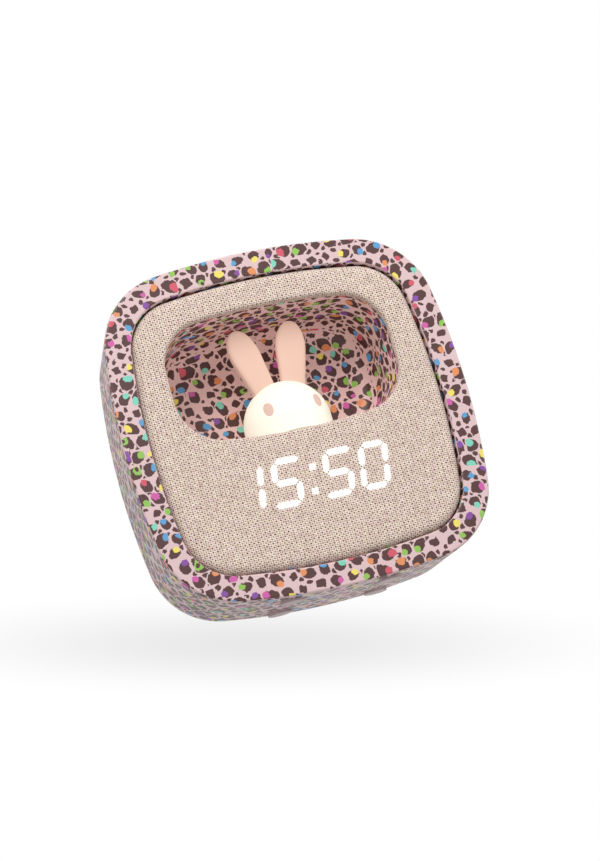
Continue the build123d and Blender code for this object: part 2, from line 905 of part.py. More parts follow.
with BuildPart() as display_reflector:
    add(
        bar(
            facing(display_board_front, display_centre_x, display_centre_z),
            2 * display_half,
            display_tall,
            0,
            reflector_thickness,
        )
    )
    with BuildSketch(facing(reflector_front)):
        add(light_outlines(0))
    extrude(amount=-reflector_thickness, mode=Mode.SUBTRACT)
display_reflector.part.label = "display_reflector"
export_step(display_reflector.part, "parts/display_reflector.step")

with BuildPart() as digit_lights:
    with BuildSketch(facing(reflector_front)):
        add(light_outlines(light_piece_inset))
    extrude(amount=-light_piece_length)
digit_lights.part.label = "digit_lights"
export_step(digit_lights.part, "parts/digit_lights.step")

with BuildPart() as display_leds:
    with BuildSketch(facing(display_board_front)):
        for column in digit_columns:
            for x, z, upright in bar_places:
                with Locations(slanted(column + x, z)):
                    Rectangle(display_led_size, display_led_size)
        for x, z in colon_dots:
            with Locations(slanted(x, z)):
                Rectangle(display_led_size, display_led_size)
    extrude(amount=display_led_height)
display_leds.part.label = "display_leds"
export_step(display_leds.part, "parts/display_leds.step")

with BuildPart() as display_board:
    add(
        bar(
            facing(display_board_back, display_centre_x, display_centre_z),
            2 * display_board_half,
            display_board_height,
            0,
            board_thickness,
        )
    )
    for x in display_ends:
        hole = facing(display_board_back, x, display_centre_z)
        add(rod(hole, hole_radius, 0, board_thickness), mode=Mode.SUBTRACT)
display_board.part.label = "display_board"
export_step(display_board.part, "parts/display_board.step")


with BuildPart() as display_screws:
    for x in display_ends:
        add(screw(from_behind(x, display_board_back, display_centre_z), display_board_back - carrier_back))
display_screws.part.label = "display_screws"
export_step(display_screws.part, "parts/display_screws.step")

# ---------------------------------------------------------------- battery

tray_back = tray_depth + tray_wall
cell_rear = tray_back + cell_thickness
tray_width = cell_width + 2 * (cell_gap + tray_wall)
tray_height = cell_height + 2 * (cell_gap + tray_wall)

with BuildPart() as battery_tray:
    add(
        bar(
            facing(tray_back + tray_lip, 0, cell_centre_z),
            tray_width,
            tray_height,
            0,
            tray_wall + tray_lip,
            tray_wall,
        )
    )
    add(bar(facing(tray_back, 0, tray_post_z), 2 * tray_post_x, 2 * tray_post_radius, 0, tray_wall))
    for x in tray_posts:
        add(rod(facing(tray_back, x, tray_post_z), tray_post_radius, 0, tray_wall))
        add(rod(facing(tray_back, x, tray_post_z), hole_radius, 0, tray_wall), mode=Mode.SUBTRACT)
    add(
        bar(
            facing(tray_back + tray_lip, 0, cell_centre_z),
            cell_width + 2 * cell_gap,
            cell_height + 2 * cell_gap,
            0,
            tray_lip,
        ),
        mode=Mode.SUBTRACT,
    )
battery_tray.part.label = "battery_tray"
export_step(battery_tray.part, "parts/battery_tray.step")

with BuildPart() as battery_cell:
    with BuildSketch(facing(cell_rear, 0, cell_centre_z)):
        RectangleRounded(cell_width, cell_height, cell_round)
    extrude(amount=cell_thickness)
    fillet(battery_cell.edges().filter_by(GeomType.LINE).filter_by(Axis.X), cell_round)
battery_cell.part.label = "battery_cell"
export_step(battery_cell.part, "parts/battery_cell.step")

with BuildPart() as tray_screws:
    for x in tray_posts:
        add(screw(from_behind(x, tray_back, tray_post_z), tray_wall + board_screw_length - screw_radius))
tray_screws.part.label = "tray_screws"
export_step(tray_screws.part, "parts/tray_screws.step")

# ---------------------------------------------------------------- back cover

button_spots = [
    (-1.5 * rear_button_spacing, rear_button_height),
    (-0.5 * rear_button_spacing, rear_button_height),
    (0.5 * rear_button_spacing, rear_button_height),
    (1.5 * rear_button_spacing, rear_button_height),
]
button_names = ["set_button", "minus_button", "plus_button", "light_button"]
standoffs = [
    (main_board_left + standoff_inset, main_board_top - standoff_edge),
    (main_board_left + standoff_inset, main_board_step + standoff_edge),
    (main_board_right - standoff_inset, main_board_top - standoff_edge),
    (main_board_right - standoff_inset, main_board_bottom + standoff_edge),
]
slot_length = slide_grip_width + slide_travel + 2 * button_clearance
slot_height = slide_grip_height + 2 * button_clearance
head_seat = cover_back - cover_head_sink - cover_head_height

with BuildPart() as back_cover:
    add(block(cover_outline(), cover_seat, cover_back))
    fillet(back_cover.faces().sort_by(Axis(front.origin, inward))[-1].edges(), cover_edge_round)
    for x, z in standoffs:
        add(rod(facing(cover_seat, x, z), standoff_radius, -post_root, standoff_length))
        add(rod(facing(cover_seat, x, z), pilot_radius, 0, standoff_length), mode=Mode.SUBTRACT)
    collar = facing(cover_seat, speaker_x, speaker_z)
    add(rod(collar, speaker_radius + button_clearance + collar_wall, -post_root, collar_height))
    add(rod(collar, speaker_radius + button_clearance, 0, collar_height), mode=Mode.SUBTRACT)
    with BuildSketch(facing(cover_back)):
        with Locations((speaker_x, speaker_z)):
            Circle(grille_hole_radius)
            for ring in range(1, grille_rings + 1):
                with PolarLocations(ring * grille_pitch, 6 * ring):
                    Circle(grille_hole_radius)
        with Locations(*button_spots):
            Circle(rear_button_radius + button_clearance)
        with Locations((slide_x, slide_z)):
            RectangleRounded(slot_length, slot_height, slot_corner)
        with Locations((socket_x, socket_z)):
            SlotOverall(socket_width + 2 * socket_opening_gap, socket_height + 2 * socket_opening_gap)
        with Locations(*corners(cover_screw_offset)):
            Circle(cover_screw_radius + screw_hole_clearance)
    extrude(amount=cover_thickness, mode=Mode.SUBTRACT)
    with BuildSketch(facing(cover_back)):
        with Locations(*corners(cover_screw_offset)):
            Circle(cover_head_radius + screw_hole_clearance)
    extrude(amount=cover_back - head_seat, mode=Mode.SUBTRACT)
back_cover.part.label = "back_cover"
export_step(back_cover.part, "parts/back_cover.step")

with BuildPart() as cover_screws:
    for x, z in corners(cover_screw_offset):
        add(
            screw(
                from_behind(x, head_seat, z),
                cover_screw_length,
                cover_screw_radius,
                cover_head_radius,
                cover_head_height,
            )
        )
cover_screws.part.label = "cover_screws"
export_step(cover_screws.part, "parts/cover_screws.step")

# ---------------------------------------------------------------- main board

main_board_width = main_board_right - main_board_left
main_board_middle = (main_board_right + main_board_left) / 2
leg_width = main_board_right - main_board_leg

with BuildPart() as main_board:
    with BuildSketch(facing(board_back)):
        with Locations((main_board_middle, (main_board_top + main_board_step) / 2)):
            Rectangle(main_board_width, main_board_top - main_board_step)
        with Locations((main_board_right - leg_width / 2, (main_board_top + main_board_bottom) / 2)):
            Rectangle(leg_width, main_board_top - main_board_bottom)
        with Locations(*standoffs):
            Circle(hole_radius, mode=Mode.SUBTRACT)
    extrude(amount=board_thickness)
main_board.part.label = "main_board"
export_step(main_board.part, "parts/main_board.step")

with BuildPart() as board_screws:
    for x, z in standoffs:
        add(screw(facing(board_front, x, z), board_thickness + board_screw_length))
board_screws.part.label = "board_screws"
export_step(board_screws.part, "parts/board_screws.step")

switch_top = board_back + switch_height
plunger_end = switch_top + plunger_exposed
flange_back_depth = cover_seat - button_clearance
flange_front_depth = flange_back_depth - button_flange_thickness
button_face = cover_back + rear_button_proud


def tact_switch(plane, travel):
    """A push switch standing on a plane, with a well for its plunger."""
    well_floor = switch_height - plunger_sunk - travel - plunger_fit
    with BuildPart() as solid:
        add(bar(plane, switch_size, switch_size, 0, switch_height, switch_corner))
        add(rod(plane, plunger_radius + plunger_fit, well_floor, switch_height), mode=Mode.SUBTRACT)
    return solid.part


def plunger(plane):
    """The round plunger of a push switch that stands on the plane."""
    return rod(plane, plunger_radius, switch_height - plunger_sunk, switch_height + plunger_exposed)


with BuildPart() as rear_switches:
    for x, z in button_spots:
        add(tact_switch(from_behind(x, board_back, z), rear_button_travel))
rear_switches.part.label = "rear_switches"
export_step(rear_switches.part, "parts/rear_switches.step")

for name, (x, z) in zip(button_names, button_spots):
    with BuildPart() as rear_button:
        axle = from_behind(x, 0, z)
        add(rod(axle, rear_button_radius + button_flange_width, flange_front_depth, flange_back_depth))
        add(rod(axle, button_stem_radius, plunger_end, flange_back_depth))
        add(rod(axle, rear_button_radius, flange_front_depth, button_face))
        fillet(rear_button.edges().group_by(Axis(front.origin, inward))[-1], button_edge_round)
        with BuildSketch(facing(button_face, x, z)):
            if name == "set_button":
                Circle(mark_length / 2)
                Circle(mark_length / 2 - mark_width, mode=Mode.SUBTRACT)
            elif name == "light_button":
                Circle(mark_width)
            else:
                Rectangle(mark_length, mark_width)
                if name == "plus_button":
                    Rectangle(mark_width, mark_length)
        extrude(amount=mark_depth, mode=Mode.SUBTRACT)
    rear_button.part.label = name
    export_step(rear_button.part, f"parts/{name}.step")
    plunger_name = name.replace("button", "plunger")
    with BuildPart() as rear_plunger:
        add(plunger(from_behind(x, board_back, z)))
    rear_plunger.part.label = plunger_name
    export_step(rear_plunger.part, f"parts/{plunger_name}.step")

# ---------------------------------------------------------------- alarm slide switch

slide_body_back = board_back + slide_body_depth
slide_post_front = slide_body_back - slide_body_depth / 2
slide_flange_back = cover_seat - button_clearance
slide_flange_front = slide_flange_back - button_flange_thickness
slide_rest = slide_x - slide_travel / 2
slide_flange_width = slot_length + slide_travel
slide_flange_height = slot_height + 2 * button_flange_width
slide_face = cover_back + slide_proud

with BuildPart() as slide_switch:
    add(
        bar(
            from_behind(slide_x, board_back, slide_z),
            slide_body_width,
            slide_body_height,
            0,
            slide_body_depth,
        )
    )
    add(
        bar(
            from_behind(slide_x, slide_post_front - button_clearance, slide_z),
            slide_post + slide_travel + 2 * button_clearance,
            slide_post + 2 * button_clearance,
            0,
            slide_body_depth,
        ),
        mode=Mode.SUBTRACT,
    )
slide_switch.part.label = "slide_switch"
export_step(slide_switch.part, "parts/slide_switch.step")

with BuildPart() as alarm_slider:
    knob = from_behind(slide_rest, 0, slide_z)
    add(bar(knob, slide_post, slide_post, slide_post_front, slide_flange_back))
    add(bar(knob, slide_flange_width, slide_flange_height, slide_flange_front, slide_flange_back))
    add(bar(knob, slide_grip_width, slide_grip_height, slide_flange_front, slide_face, slide_grip_corner))
    with BuildSketch(facing(slide_face, slide_rest, slide_z)):
        with GridLocations(slide_rib_pitch, 0, slide_ribs, 1):
            Rectangle(slide_rib_width, slide_grip_height - 2 * slide_rib_margin)
    extrude(amount=mark_depth, mode=Mode.SUBTRACT)
alarm_slider.part.label = "alarm_slider"
export_step(alarm_slider.part, "parts/alarm_slider.step")

# ---------------------------------------------------------------- charging socket

socket_mouth = cover_back - socket_sink
socket_floor = board_back + socket_floor_thickness

with BuildPart() as socket_shell:
    socket_axis = from_behind(socket_x, 0, socket_z)
    add(pill(socket_axis, socket_width, socket_height, board_back, socket_mouth))
    add(
        pill(
            socket_axis,
            socket_width - 2 * socket_skin,
            socket_height - 2 * socket_skin,
            socket_floor,
            socket_mouth,
        ),
        mode=Mode.SUBTRACT,
    )
socket_shell.part.label = "socket_shell"
export_step(socket_shell.part, "parts/socket_shell.step")

with BuildPart() as socket_tongue:
    add(bar(socket_axis, tongue_width, tongue_thickness, socket_floor, socket_mouth - tongue_sink))
socket_tongue.part.label = "socket_tongue"
export_step(socket_tongue.part, "parts/socket_tongue.step")

# ---------------------------------------------------------------- loudspeaker

speaker_axis = from_behind(speaker_x, 0, speaker_z)
speaker_view = Plane(origin=speaker_axis.origin, x_dir=(1, 0, 0), z_dir=upward)
turn_axis = Axis(speaker_axis.origin, inward)
basket_end = cover_seat - speaker_basket_depth
cone_seat = cover_seat - cone_rim_thickness
cone_edge = speaker_radius - speaker_flange
cone_bottom = cone_seat - cone_depth
voice_radius = magnet_radius - voice_coil_wall
dome_base = cone_bottom + 2 * cone_skin
dome_curve = arc_radius(cone_dome_radius, cone_dome_rise)

with BuildPart() as speaker_basket:
    with BuildSketch(speaker_view):
        with BuildLine():
            Polyline(
                (voice_radius, basket_end),
                (magnet_radius, basket_end),
                (cone_edge, cone_seat - speaker_flange),
                (speaker_radius, cone_seat - speaker_flange),
                (speaker_radius, cone_seat),
                (cone_edge, cone_seat),
                (magnet_radius, basket_end + speaker_skin),
                (voice_radius, basket_end + speaker_skin),
                close=True,
            )
        make_face()
    revolve(axis=turn_axis)
    lug_x = speaker_x + magnet_radius + terminal_reach / 2 - speaker_skin
    lug = facing(basket_end + speaker_skin, lug_x, speaker_z)
    add(bar(lug, terminal_reach, terminal_width, 0, speaker_skin))
speaker_basket.part.label = "speaker_basket"
export_step(speaker_basket.part, "parts/speaker_basket.step")

with BuildPart() as speaker_magnet:
    add(rod(speaker_axis, magnet_radius, basket_end - magnet_depth, basket_end))
    fillet(speaker_magnet.edges().group_by(Axis(front.origin, inward))[0], speaker_skin)
speaker_magnet.part.label = "speaker_magnet"
export_step(speaker_magnet.part, "parts/speaker_magnet.step")

with BuildPart() as speaker_cone:
    with BuildSketch(speaker_view):
        with BuildLine():
            Polyline(
                (0, cone_bottom),
                (cone_dome_radius, cone_bottom),
                (cone_edge - button_clearance, cone_seat),
                (speaker_radius, cone_seat),
                (speaker_radius, cover_seat),
                (cone_edge - 2 * cone_skin, cover_seat),
                (cone_dome_radius, dome_base),
            )
            RadiusArc((cone_dome_radius, dome_base), (0, dome_base + cone_dome_rise), -dome_curve)
            Line((0, dome_base + cone_dome_rise), (0, cone_bottom))
        make_face()
    revolve(axis=turn_axis)
speaker_cone.part.label = "speaker_cone"
export_step(speaker_cone.part, "parts/speaker_cone.step")

# ---------------------------------------------------------------- snooze button

with BuildPart() as snooze_button:
    add(pill(top, snooze_length, snooze_width, snooze_flange_bottom, snooze_proud))
    fillet(snooze_button.edges().group_by(Axis(top.origin, top_normal))[-1], snooze_edge_round)
    add(
        pill(
            top,
            snooze_length + 2 * snooze_flange_width,
            snooze_width + 2 * snooze_flange_width,
            snooze_flange_bottom,
            snooze_flange_top,
        )
    )
    add(rod(top, button_stem_radius, snooze_stem_end, snooze_flange_bottom))
snooze_button.part.label = "snooze_button"
export_step(snooze_button.part, "parts/snooze_button.step")

snooze_board_plane = top.offset(snooze_board_top)
with BuildPart() as snooze_plunger:
    add(plunger(snooze_board_plane))
snooze_plunger.part.label = "snooze_plunger"
export_step(snooze_plunger.part, "parts/snooze_plunger.step")

with BuildPart() as snooze_switch:
    add(tact_switch(snooze_board_plane, snooze_travel))
snooze_switch.part.label = "snooze_switch"
export_step(snooze_switch.part, "parts/snooze_switch.step")

with BuildPart() as snooze_board:
    add(bar(top, 2 * snooze_board_half, snooze_board_width, snooze_board_bottom, snooze_board_top))
    for post in snooze_posts:
        add(rod(post, hole_radius, snooze_board_bottom, snooze_board_top), mode=Mode.SUBTRACT)
snooze_board.part.label = "snooze_board"
export_step(snooze_board.part, "parts/snooze_board.step")

with BuildPart() as snooze_screws:
    for post in snooze_posts:
        add(screw(under(post.offset(snooze_board_bottom)), board_thickness + board_screw_length))
snooze_screws.part.label = "snooze_screws"
export_step(snooze_screws.part, "parts/snooze_screws.step")

# ---------------------------------------------------------------- feet

with BuildPart() as feet:
    for x, depth in foot_points:
        add(rod(foot_plane(x, depth), foot_radius, 0, foot_height))
    fillet(feet.edges().group_by(Axis.Z)[0], foot_edge_round)
feet.part.label = "feet"
export_step(feet.part, "parts/feet.step")

# ---------------------------------------------------------------- board parts and leads

plug_front = board_front - plug_depth

with BuildPart() as board_plugs:
    with BuildSketch(facing(board_front)):
        with Locations(*plug_spots.values()):
            Rectangle(plug_width, plug_height)
    extrude(amount=plug_depth)
board_plugs.part.label = "board_plugs"
export_step(board_plugs.part, "parts/board_plugs.step")

with BuildPart() as board_chips:
    with BuildSketch(facing(board_front)):
        for (x, drop), size in chips.items():
            with Locations((x, main_board_top - drop)):
                Rectangle(*size)
    extrude(amount=chip_thickness)
board_chips.part.label = "board_chips"
export_step(board_chips.part, "parts/board_chips.step")


def bend_radii(points):
    """The largest arc that each corner of a route has room for."""
    runs = [after - before for before, after in zip(points, points[1:])]
    radii = []
    for before, after in zip(runs, runs[1:]):
        turn = radians(before.get_angle(after))
        radii.append(0.45 * min(before.length, after.length) / tan(turn / 2))
    return radii


def lead(points, section):
    """A lead along straight runs joined by arcs."""
    with BuildPart() as solid:
        with BuildLine() as route:
            FilletPolyline(*points, radius=bend_radii(points))
        start = Plane(origin=points[0], x_dir=(1, 0, 0), z_dir=points[1] - points[0])
        with BuildSketch(start):
            add(section)
        sweep(path=route.line)
    print("bends", [round(radius, 1) for radius in bend_radii(points)])
    return solid.part


with BuildSketch() as wire_section:
    Circle(lead_diameter / 2)
with BuildSketch() as ribbon_section:
    Rectangle(ribbon_width, ribbon_thickness)

lamp_lead_height = lamp_underside - board_thickness / 2
lamp_board_rear = lamp_depth + lamp_board_width / 2
lamp_plug_x, lamp_plug_z = plug_spots["lamp"]
lamp_route = [
    at(4.0, lamp_board_rear, lamp_lead_height),
    at(4.0, lamp_board_rear + 6.6, lamp_lead_height),
    at(lamp_plug_x, plug_front - 5.6, lamp_plug_z),
    at(lamp_plug_x, plug_front, lamp_plug_z),
]
battery_plug_x, battery_plug_z = plug_spots["battery"]
battery_route = [
    at(18.0, cell_rear, -36.0),
    at(18.0, cell_rear + 10.2, -36.0),
    at(battery_plug_x, plug_front - 9.8, battery_plug_z),
    at(battery_plug_x, plug_front, battery_plug_z),
]
speaker_plug_x, speaker_plug_z = plug_spots["speaker"]
lug_end = speaker_x + magnet_radius + terminal_reach - speaker_skin
speaker_route = [
    at(lug_end - lead_diameter, basket_end, speaker_z),
    at(lug_end - lead_diameter, basket_end - 6.4, speaker_z),
    at(speaker_plug_x, plug_front - 5.6, speaker_plug_z),
    at(speaker_plug_x, plug_front, speaker_plug_z),
]
snooze_plug_x, snooze_plug_z = plug_spots["snooze"]
snooze_lead_drop = snooze_board_top - board_thickness / 2
snooze_route = [
    top.from_local_coords(Vector(-12.0, snooze_board_width / 2, snooze_lead_drop)),
    top.from_local_coords(Vector(-12.0, snooze_board_width / 2 + 7.6, snooze_lead_drop)),
    at(snooze_plug_x, board_front - plug_depth / 2, snooze_plug_z + plug_height / 2 + 10.0),
    at(snooze_plug_x, board_front - plug_depth / 2, snooze_plug_z + plug_height / 2),
]
display_plug_x, display_plug_z = plug_spots["display"]
ribbon_start = display_centre_z + display_board_height / 2 - 4.5
ribbon_route = [
    at(display_plug_x, display_board_back, ribbon_start),
    at(display_plug_x, display_board_back + 16.0, ribbon_start),
    at(display_plug_x, plug_front - 10.0, display_plug_z),
    at(display_plug_x, plug_front, display_plug_z),
]
leads = {
    "lamp_lead": lead(lamp_route, wire_section.sketch),
    "battery_lead": lead(battery_route, wire_section.sketch),
    "speaker_lead": lead(speaker_route, wire_section.sketch),
    "snooze_lead": lead(snooze_route, wire_section.sketch),
    "display_ribbon": lead(ribbon_route, ribbon_section.sketch),
}
for name, piece in leads.items():
    piece.label = name
    export_step(piece, f"parts/{name}.step")
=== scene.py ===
import math
from collections import namedtuple

import bpy
from bpy.props import FloatProperty, FloatVectorProperty, PointerProperty
from mathutils import Matrix, Vector


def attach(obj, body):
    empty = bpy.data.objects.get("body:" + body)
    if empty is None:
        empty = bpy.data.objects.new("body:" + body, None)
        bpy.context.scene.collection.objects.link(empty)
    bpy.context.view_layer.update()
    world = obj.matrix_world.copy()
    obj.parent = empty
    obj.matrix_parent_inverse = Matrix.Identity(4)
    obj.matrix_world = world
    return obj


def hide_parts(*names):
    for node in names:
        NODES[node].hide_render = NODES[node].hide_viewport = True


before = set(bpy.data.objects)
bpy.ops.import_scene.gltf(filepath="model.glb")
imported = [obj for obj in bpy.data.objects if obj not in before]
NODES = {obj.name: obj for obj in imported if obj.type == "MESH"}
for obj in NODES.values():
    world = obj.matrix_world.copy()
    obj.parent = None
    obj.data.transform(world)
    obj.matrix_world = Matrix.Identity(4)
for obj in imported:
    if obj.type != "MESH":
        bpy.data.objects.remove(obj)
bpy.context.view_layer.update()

bl_info = {
    "name": "Kids alarm clock with night light",
    "version": (1, 0, 0),
    "blender": (4, 5, 0),
    "location": "View3D > Sidebar > Alarm clock",
    "description": "Dresses the packed alarm clock: printed case, woven front, rabbit night light",
    "category": "Object",
}

MM = 0.001
TURN = 2 * math.pi
WHITE = (1.0, 1.0, 1.0)
BLACK = (0.0, 0.0, 0.0)

# The face leans back by the taper of the case, because the clock stands on its tapered underside.
LEAN = math.radians(3.87)
FACE_CENTRE = Vector((0, -28.13265, 67.19722)) * MM
RIGHT = Vector((1, 0, 0))
INWARD = Vector((0, math.cos(LEAN), -math.sin(LEAN)))
UPWARD = Vector((0, math.sin(LEAN), math.cos(LEAN)))

# Camera, in metres, below the floor's level and to the left of the clock, rolled to the left.
CAMERA_PLACE = Vector((-0.253405, -0.968862, -0.127261))
CAMERA_RIGHT = Vector((0.945825, -0.203215, -0.253217))
CAMERA_UP = Vector((0.201450, -0.244321, 0.948538))
CAMERA_FORWARD = Vector((0.254623, 0.948162, 0.190147))

# Floor, in metres: its size, the distance at which it is half clear, and half the width of its fade.
FLOOR_SIZE = 4.0
FLOOR_REACH = 0.24
FLOOR_FADE = 0.16

# Painted shadow under the clock, a grey film, in metres from the camera: forwards, right and up. Then its
# size and tone.
SHADE_PLACE = (0.8, -0.012, -0.0638)
SHADE_SIZE = (0.25, 0.034)
SHADE_TONE = 0.81

# The point that the lamps are turned to, in metres.
LAMP_AIM = Vector((0, 0, 0.067))

# All sizes below are in millimetres, in the frame of the face: x to the right, depth inwards, z up.

# Outlines: half width, half height, bulge of the sides, bulge of the top, corner radius.
CASE = (67.0, 67.0, 6.8, 6.8, 30.0)
WINDOW = (43.8, 25.1, 0.3, 3.8, 18.0)
WINDOW_RISE = 20.2
SIDE_STEPS, CORNER_STEPS, TOP_STEPS = 10, 18, 10

# Where the case and the niche begin to round off towards the back, and the radius of that rounding.
CASE_ROUNDING = (36.0, 22.0)
NICHE_ROUNDING = (29.0, 7.5)

# Cloth on the front panel: how far in from the case it ends, the radius of its roll over that edge, the
# depth it reaches there, its thickness, and the name of its own coordinates.
CLOTH_INSET = 10.35
CLOTH_ROLL = 3.6
CLOTH_END = 6.5
CLOTH_THICKNESS = 0.8
CLOTH_MAP = "cloth"

# Its roll over the edge of the window, and the depths of its rings on the wall of the window.
WINDOW_ROLL = 1.4
WINDOW_WALL_DEPTHS = (3.1, 2.2)
ROLL_STEPS, FLAT_STEPS = 5, 10

# Digits, in the cloth's own coordinates: the middle of the time, and how far from it the inner and the
# outer digits stand.
DIGIT_CENTRE = (-0.95, -24.3)
DIGIT_PLACES = (9.925, 23.925)

# Their lean and their height as a factor. Each millimetre to the right takes the taper off that factor and
# lowers the row by the droop.
DIGIT_SLANT = 0.17
DIGIT_GROWTH = 1.03
DIGIT_TAPER = 0.001
DIGIT_DROOP = 0.014

# From the middle of a digit to its upright and its level bars, how much longer the free ends of a 5 are,
# how far outwards the 1 stands, and where the two dots lie.
BAR_REACH = (4.6, 7.95)
FREE_END = 0.45
ONE_ASIDE = 0.6
DOT_ASIDE, DOT_DROP, DOT_RISE = 0.2, 0.7, 4.45

# Ears of the rabbit, flat blades that stand in the top of the head: place to the side, lean and height.
EAR_PLACES = {"left": (-6.3, -12.8, 24.8), "right": (5.8, 11.0, 24.6)}

# Both ears: depth behind the rim, height of the root, peg below it, thickness, half width at the root and
# at the shoulder, the shoulder's share of the height, how square the edges are, and how the tip thins.
EAR_DEPTH = 15.0
EAR_BASE = 17.0
EAR_PEG = 3.0
EAR_THICKNESS = 4.8
EAR_ROOT = 4.4
EAR_BROAD = 5.75
EAR_SHOULDER = 0.6
EAR_SQUARENESS = 0.45
EAR_THINNING = 0.12
EAR_STEPS, EAR_ROUND = 30, 48

# The print lies flat where the surface faces forwards or backwards by more than this share.
FLAT_FROM = 0.7

# Half of the soft step at the edge of a spot, and the height of a cell as a share of its width.
SPOT_EDGE = 0.09
CELL_HEIGHT = 0.9

# A spot has an accent, is a large one, or is there at all where its draw from 0 to 1 lies above these.
ACCENT_FROM = 0.26
LARGE_FROM = 0.82
SPECK_FROM = 0.34

# Colours of the accents, each with the draw that it begins at. The first is lime.
ACCENTS = (
    (0.00, (138, 188, 82)),
    (0.20, (222, 140, 88)),
    (0.34, (234, 216, 98)),
    (0.47, (86, 154, 202)),
    (0.60, (124, 204, 182)),
    (0.70, (130, 72, 158)),
    (0.81, (202, 90, 164)),
    (0.91, (204, 82, 100)),
)
LIME_TO = ACCENTS[1][0]

# More than any spot or bar reaches: added to a distance, it leaves that spot or bar out.
OUT_OF_REACH = 9.0


def case_point(x, depth, z):
    """A point x to the right, depth behind the rim and z above its centre, from millimetres to metres."""
    return FACE_CENTRE + (x * RIGHT + depth * INWARD + z * UPWARD) * MM


def linear(red, green, blue):
    """A display colour of 0 to 255 as the linear values that shaders take."""
    return tuple(
        (c / 255 / 12.92) if c <= 10 else ((c / 255 + 0.055) / 1.055) ** 2.4 for c in (red, green, blue)
    )


# ---------------------------------------------------------------- outlines


def arc_radius(half_chord, bulge):
    return (half_chord**2 + bulge**2) / (2 * bulge)


def outline_arcs(shape):
    """The arcs that make up an outline.

    Radius of the side and of the top, how far the middles of those arcs lie beyond the outline's own middle,
    the middle of the corner's arc, and the angles at which the side and the top end."""
    half_width, half_height, bulge_x, bulge_z, corner = shape
    top_radius = arc_radius(half_width - bulge_x, bulge_z)
    side_radius = arc_radius(half_height - bulge_z, bulge_x)
    below, beside = top_radius - half_height, side_radius - half_width
    apart = math.hypot(below, beside)
    top, side = top_radius - corner, side_radius - corner
    along = (top**2 - side**2 + apart**2) / (2 * apart)
    out = math.sqrt(top**2 - along**2)
    turn_x = (out * below - along * beside) / apart
    turn_z = (along * below + out * beside) / apart - below
    side_end = math.atan2(turn_z, turn_x + beside)
    top_end = math.atan2(turn_x, turn_z + below)
    return side_radius, top_radius, beside, below, turn_x, turn_z, side_end, top_end


def quarter_places(shape):
    """Angle, middle and radius at each step from the middle of the right side to the middle of the top."""
    side_radius, top_radius, beside, below, turn_x, turn_z, side_end, top_end = outline_arcs(shape)
    corner_end = math.pi / 2 - top_end
    arcs = (
        (0.0, side_end, (-beside, 0), side_radius, SIDE_STEPS),
        (side_end, corner_end, (turn_x, turn_z), shape[4], CORNER_STEPS),
        (corner_end, math.pi / 2, (0, -below), top_radius, TOP_STEPS),
    )
    return [
        (start + (end - start) * k / count, middle, radius)
        for start, end, middle, radius, count in arcs
        for k in range(count)
    ]


def outline(shape, inset):
    """Points round a bulged outline, anticlockwise from the middle of its right side."""
    quarter = []
    for angle, (cx, cz), radius in quarter_places(shape):
        reach = radius - inset
        quarter.append((cx + reach * math.cos(angle), cz + reach * math.sin(angle)))
    quarter.append((0.0, shape[1] - inset))
    upper = quarter + [(-x, z) for x, z in reversed(quarter[:-1])]
    lower = [(x, -z) for x, z in reversed(upper[1:-1])]
    return upper + lower


# ---------------------------------------------------------------- modelling


def deselect_all():
    if bpy.context.object and bpy.context.object.mode != "OBJECT":
        bpy.ops.object.mode_set(mode="OBJECT")
    bpy.ops.object.select_all(action="DESELECT")


def stack_rings(name, rings, closed=False):
    """A skin over rings: a circle is extruded once for each ring, and each ring is put in its place."""
    count = len(rings[0])
    deselect_all()
    bpy.ops.mesh.primitive_circle_add(vertices=count, radius=0.05, location=(0, 0, 0), fill_type="NOTHING")
    piece = bpy.context.object
    piece.name = piece.data.name = name
    bpy.ops.object.mode_set(mode="EDIT")
    bpy.ops.mesh.select_all(action="SELECT")
    for _ in rings[1:]:
        bpy.ops.mesh.extrude_region_move(TRANSFORM_OT_translate={"value": (0, 0, 0.01)})
    bpy.ops.object.mode_set(mode="OBJECT")
    for k, ring in enumerate(rings):
        for i, point in enumerate(ring):
            piece.data.vertices[count * k + i].co = point
    if closed:
        for end in (0, len(rings) - 1):
            close_ring(piece, range(count * end, count * (end + 1)))
        face_outwards()
    return piece


def close_ring(piece, indices):
    """Closes an open end by drawing its ring together in one face."""
    bpy.ops.object.mode_set(mode="EDIT")
    bpy.ops.mesh.select_mode(type="VERT")
    bpy.ops.mesh.select_all(action="DESELECT")
    bpy.ops.object.mode_set(mode="OBJECT")
    for i in indices:
        piece.data.vertices[i].select = True
    bpy.ops.object.mode_set(mode="EDIT")
    bpy.ops.mesh.edge_face_add()
    bpy.ops.object.mode_set(mode="OBJECT")


def face_outwards():
    """Turns the faces of the active piece outwards."""
    bpy.ops.object.mode_set(mode="EDIT")
    bpy.ops.mesh.select_all(action="SELECT")
    bpy.ops.mesh.normals_make_consistent(inside=False)
    bpy.ops.object.mode_set(mode="OBJECT")


def face_forwards(piece):
    """Turns an open sheet's faces to the front, so that its thickness is added behind them."""
    if sum(face.normal.dot(INWARD) * face.area for face in piece.data.polygons) > 0:
        bpy.ops.object.mode_set(mode="EDIT")
        bpy.ops.mesh.select_all(action="SELECT")
        bpy.ops.mesh.flip_normals()
        bpy.ops.object.mode_set(mode="OBJECT")


def make_active(piece):
    deselect_all()
    piece.select_set(True)
    bpy.context.view_layer.objects.active = piece


def smooth(piece, degrees):
    """Shades a piece smooth, but for edges that turn by more than an angle."""
    make_active(piece)
    bpy.ops.object.shade_smooth_by_angle(angle=math.radians(degrees))


def apply_modifier(piece, kind, **settings):
    """Adds a modifier and applies it at once."""
    make_active(piece)
    modifier = piece.modifiers.new(kind.title(), kind)
    for key, value in settings.items():
        setattr(modifier, key, value)
    bpy.ops.object.modifier_apply(modifier=modifier.name)


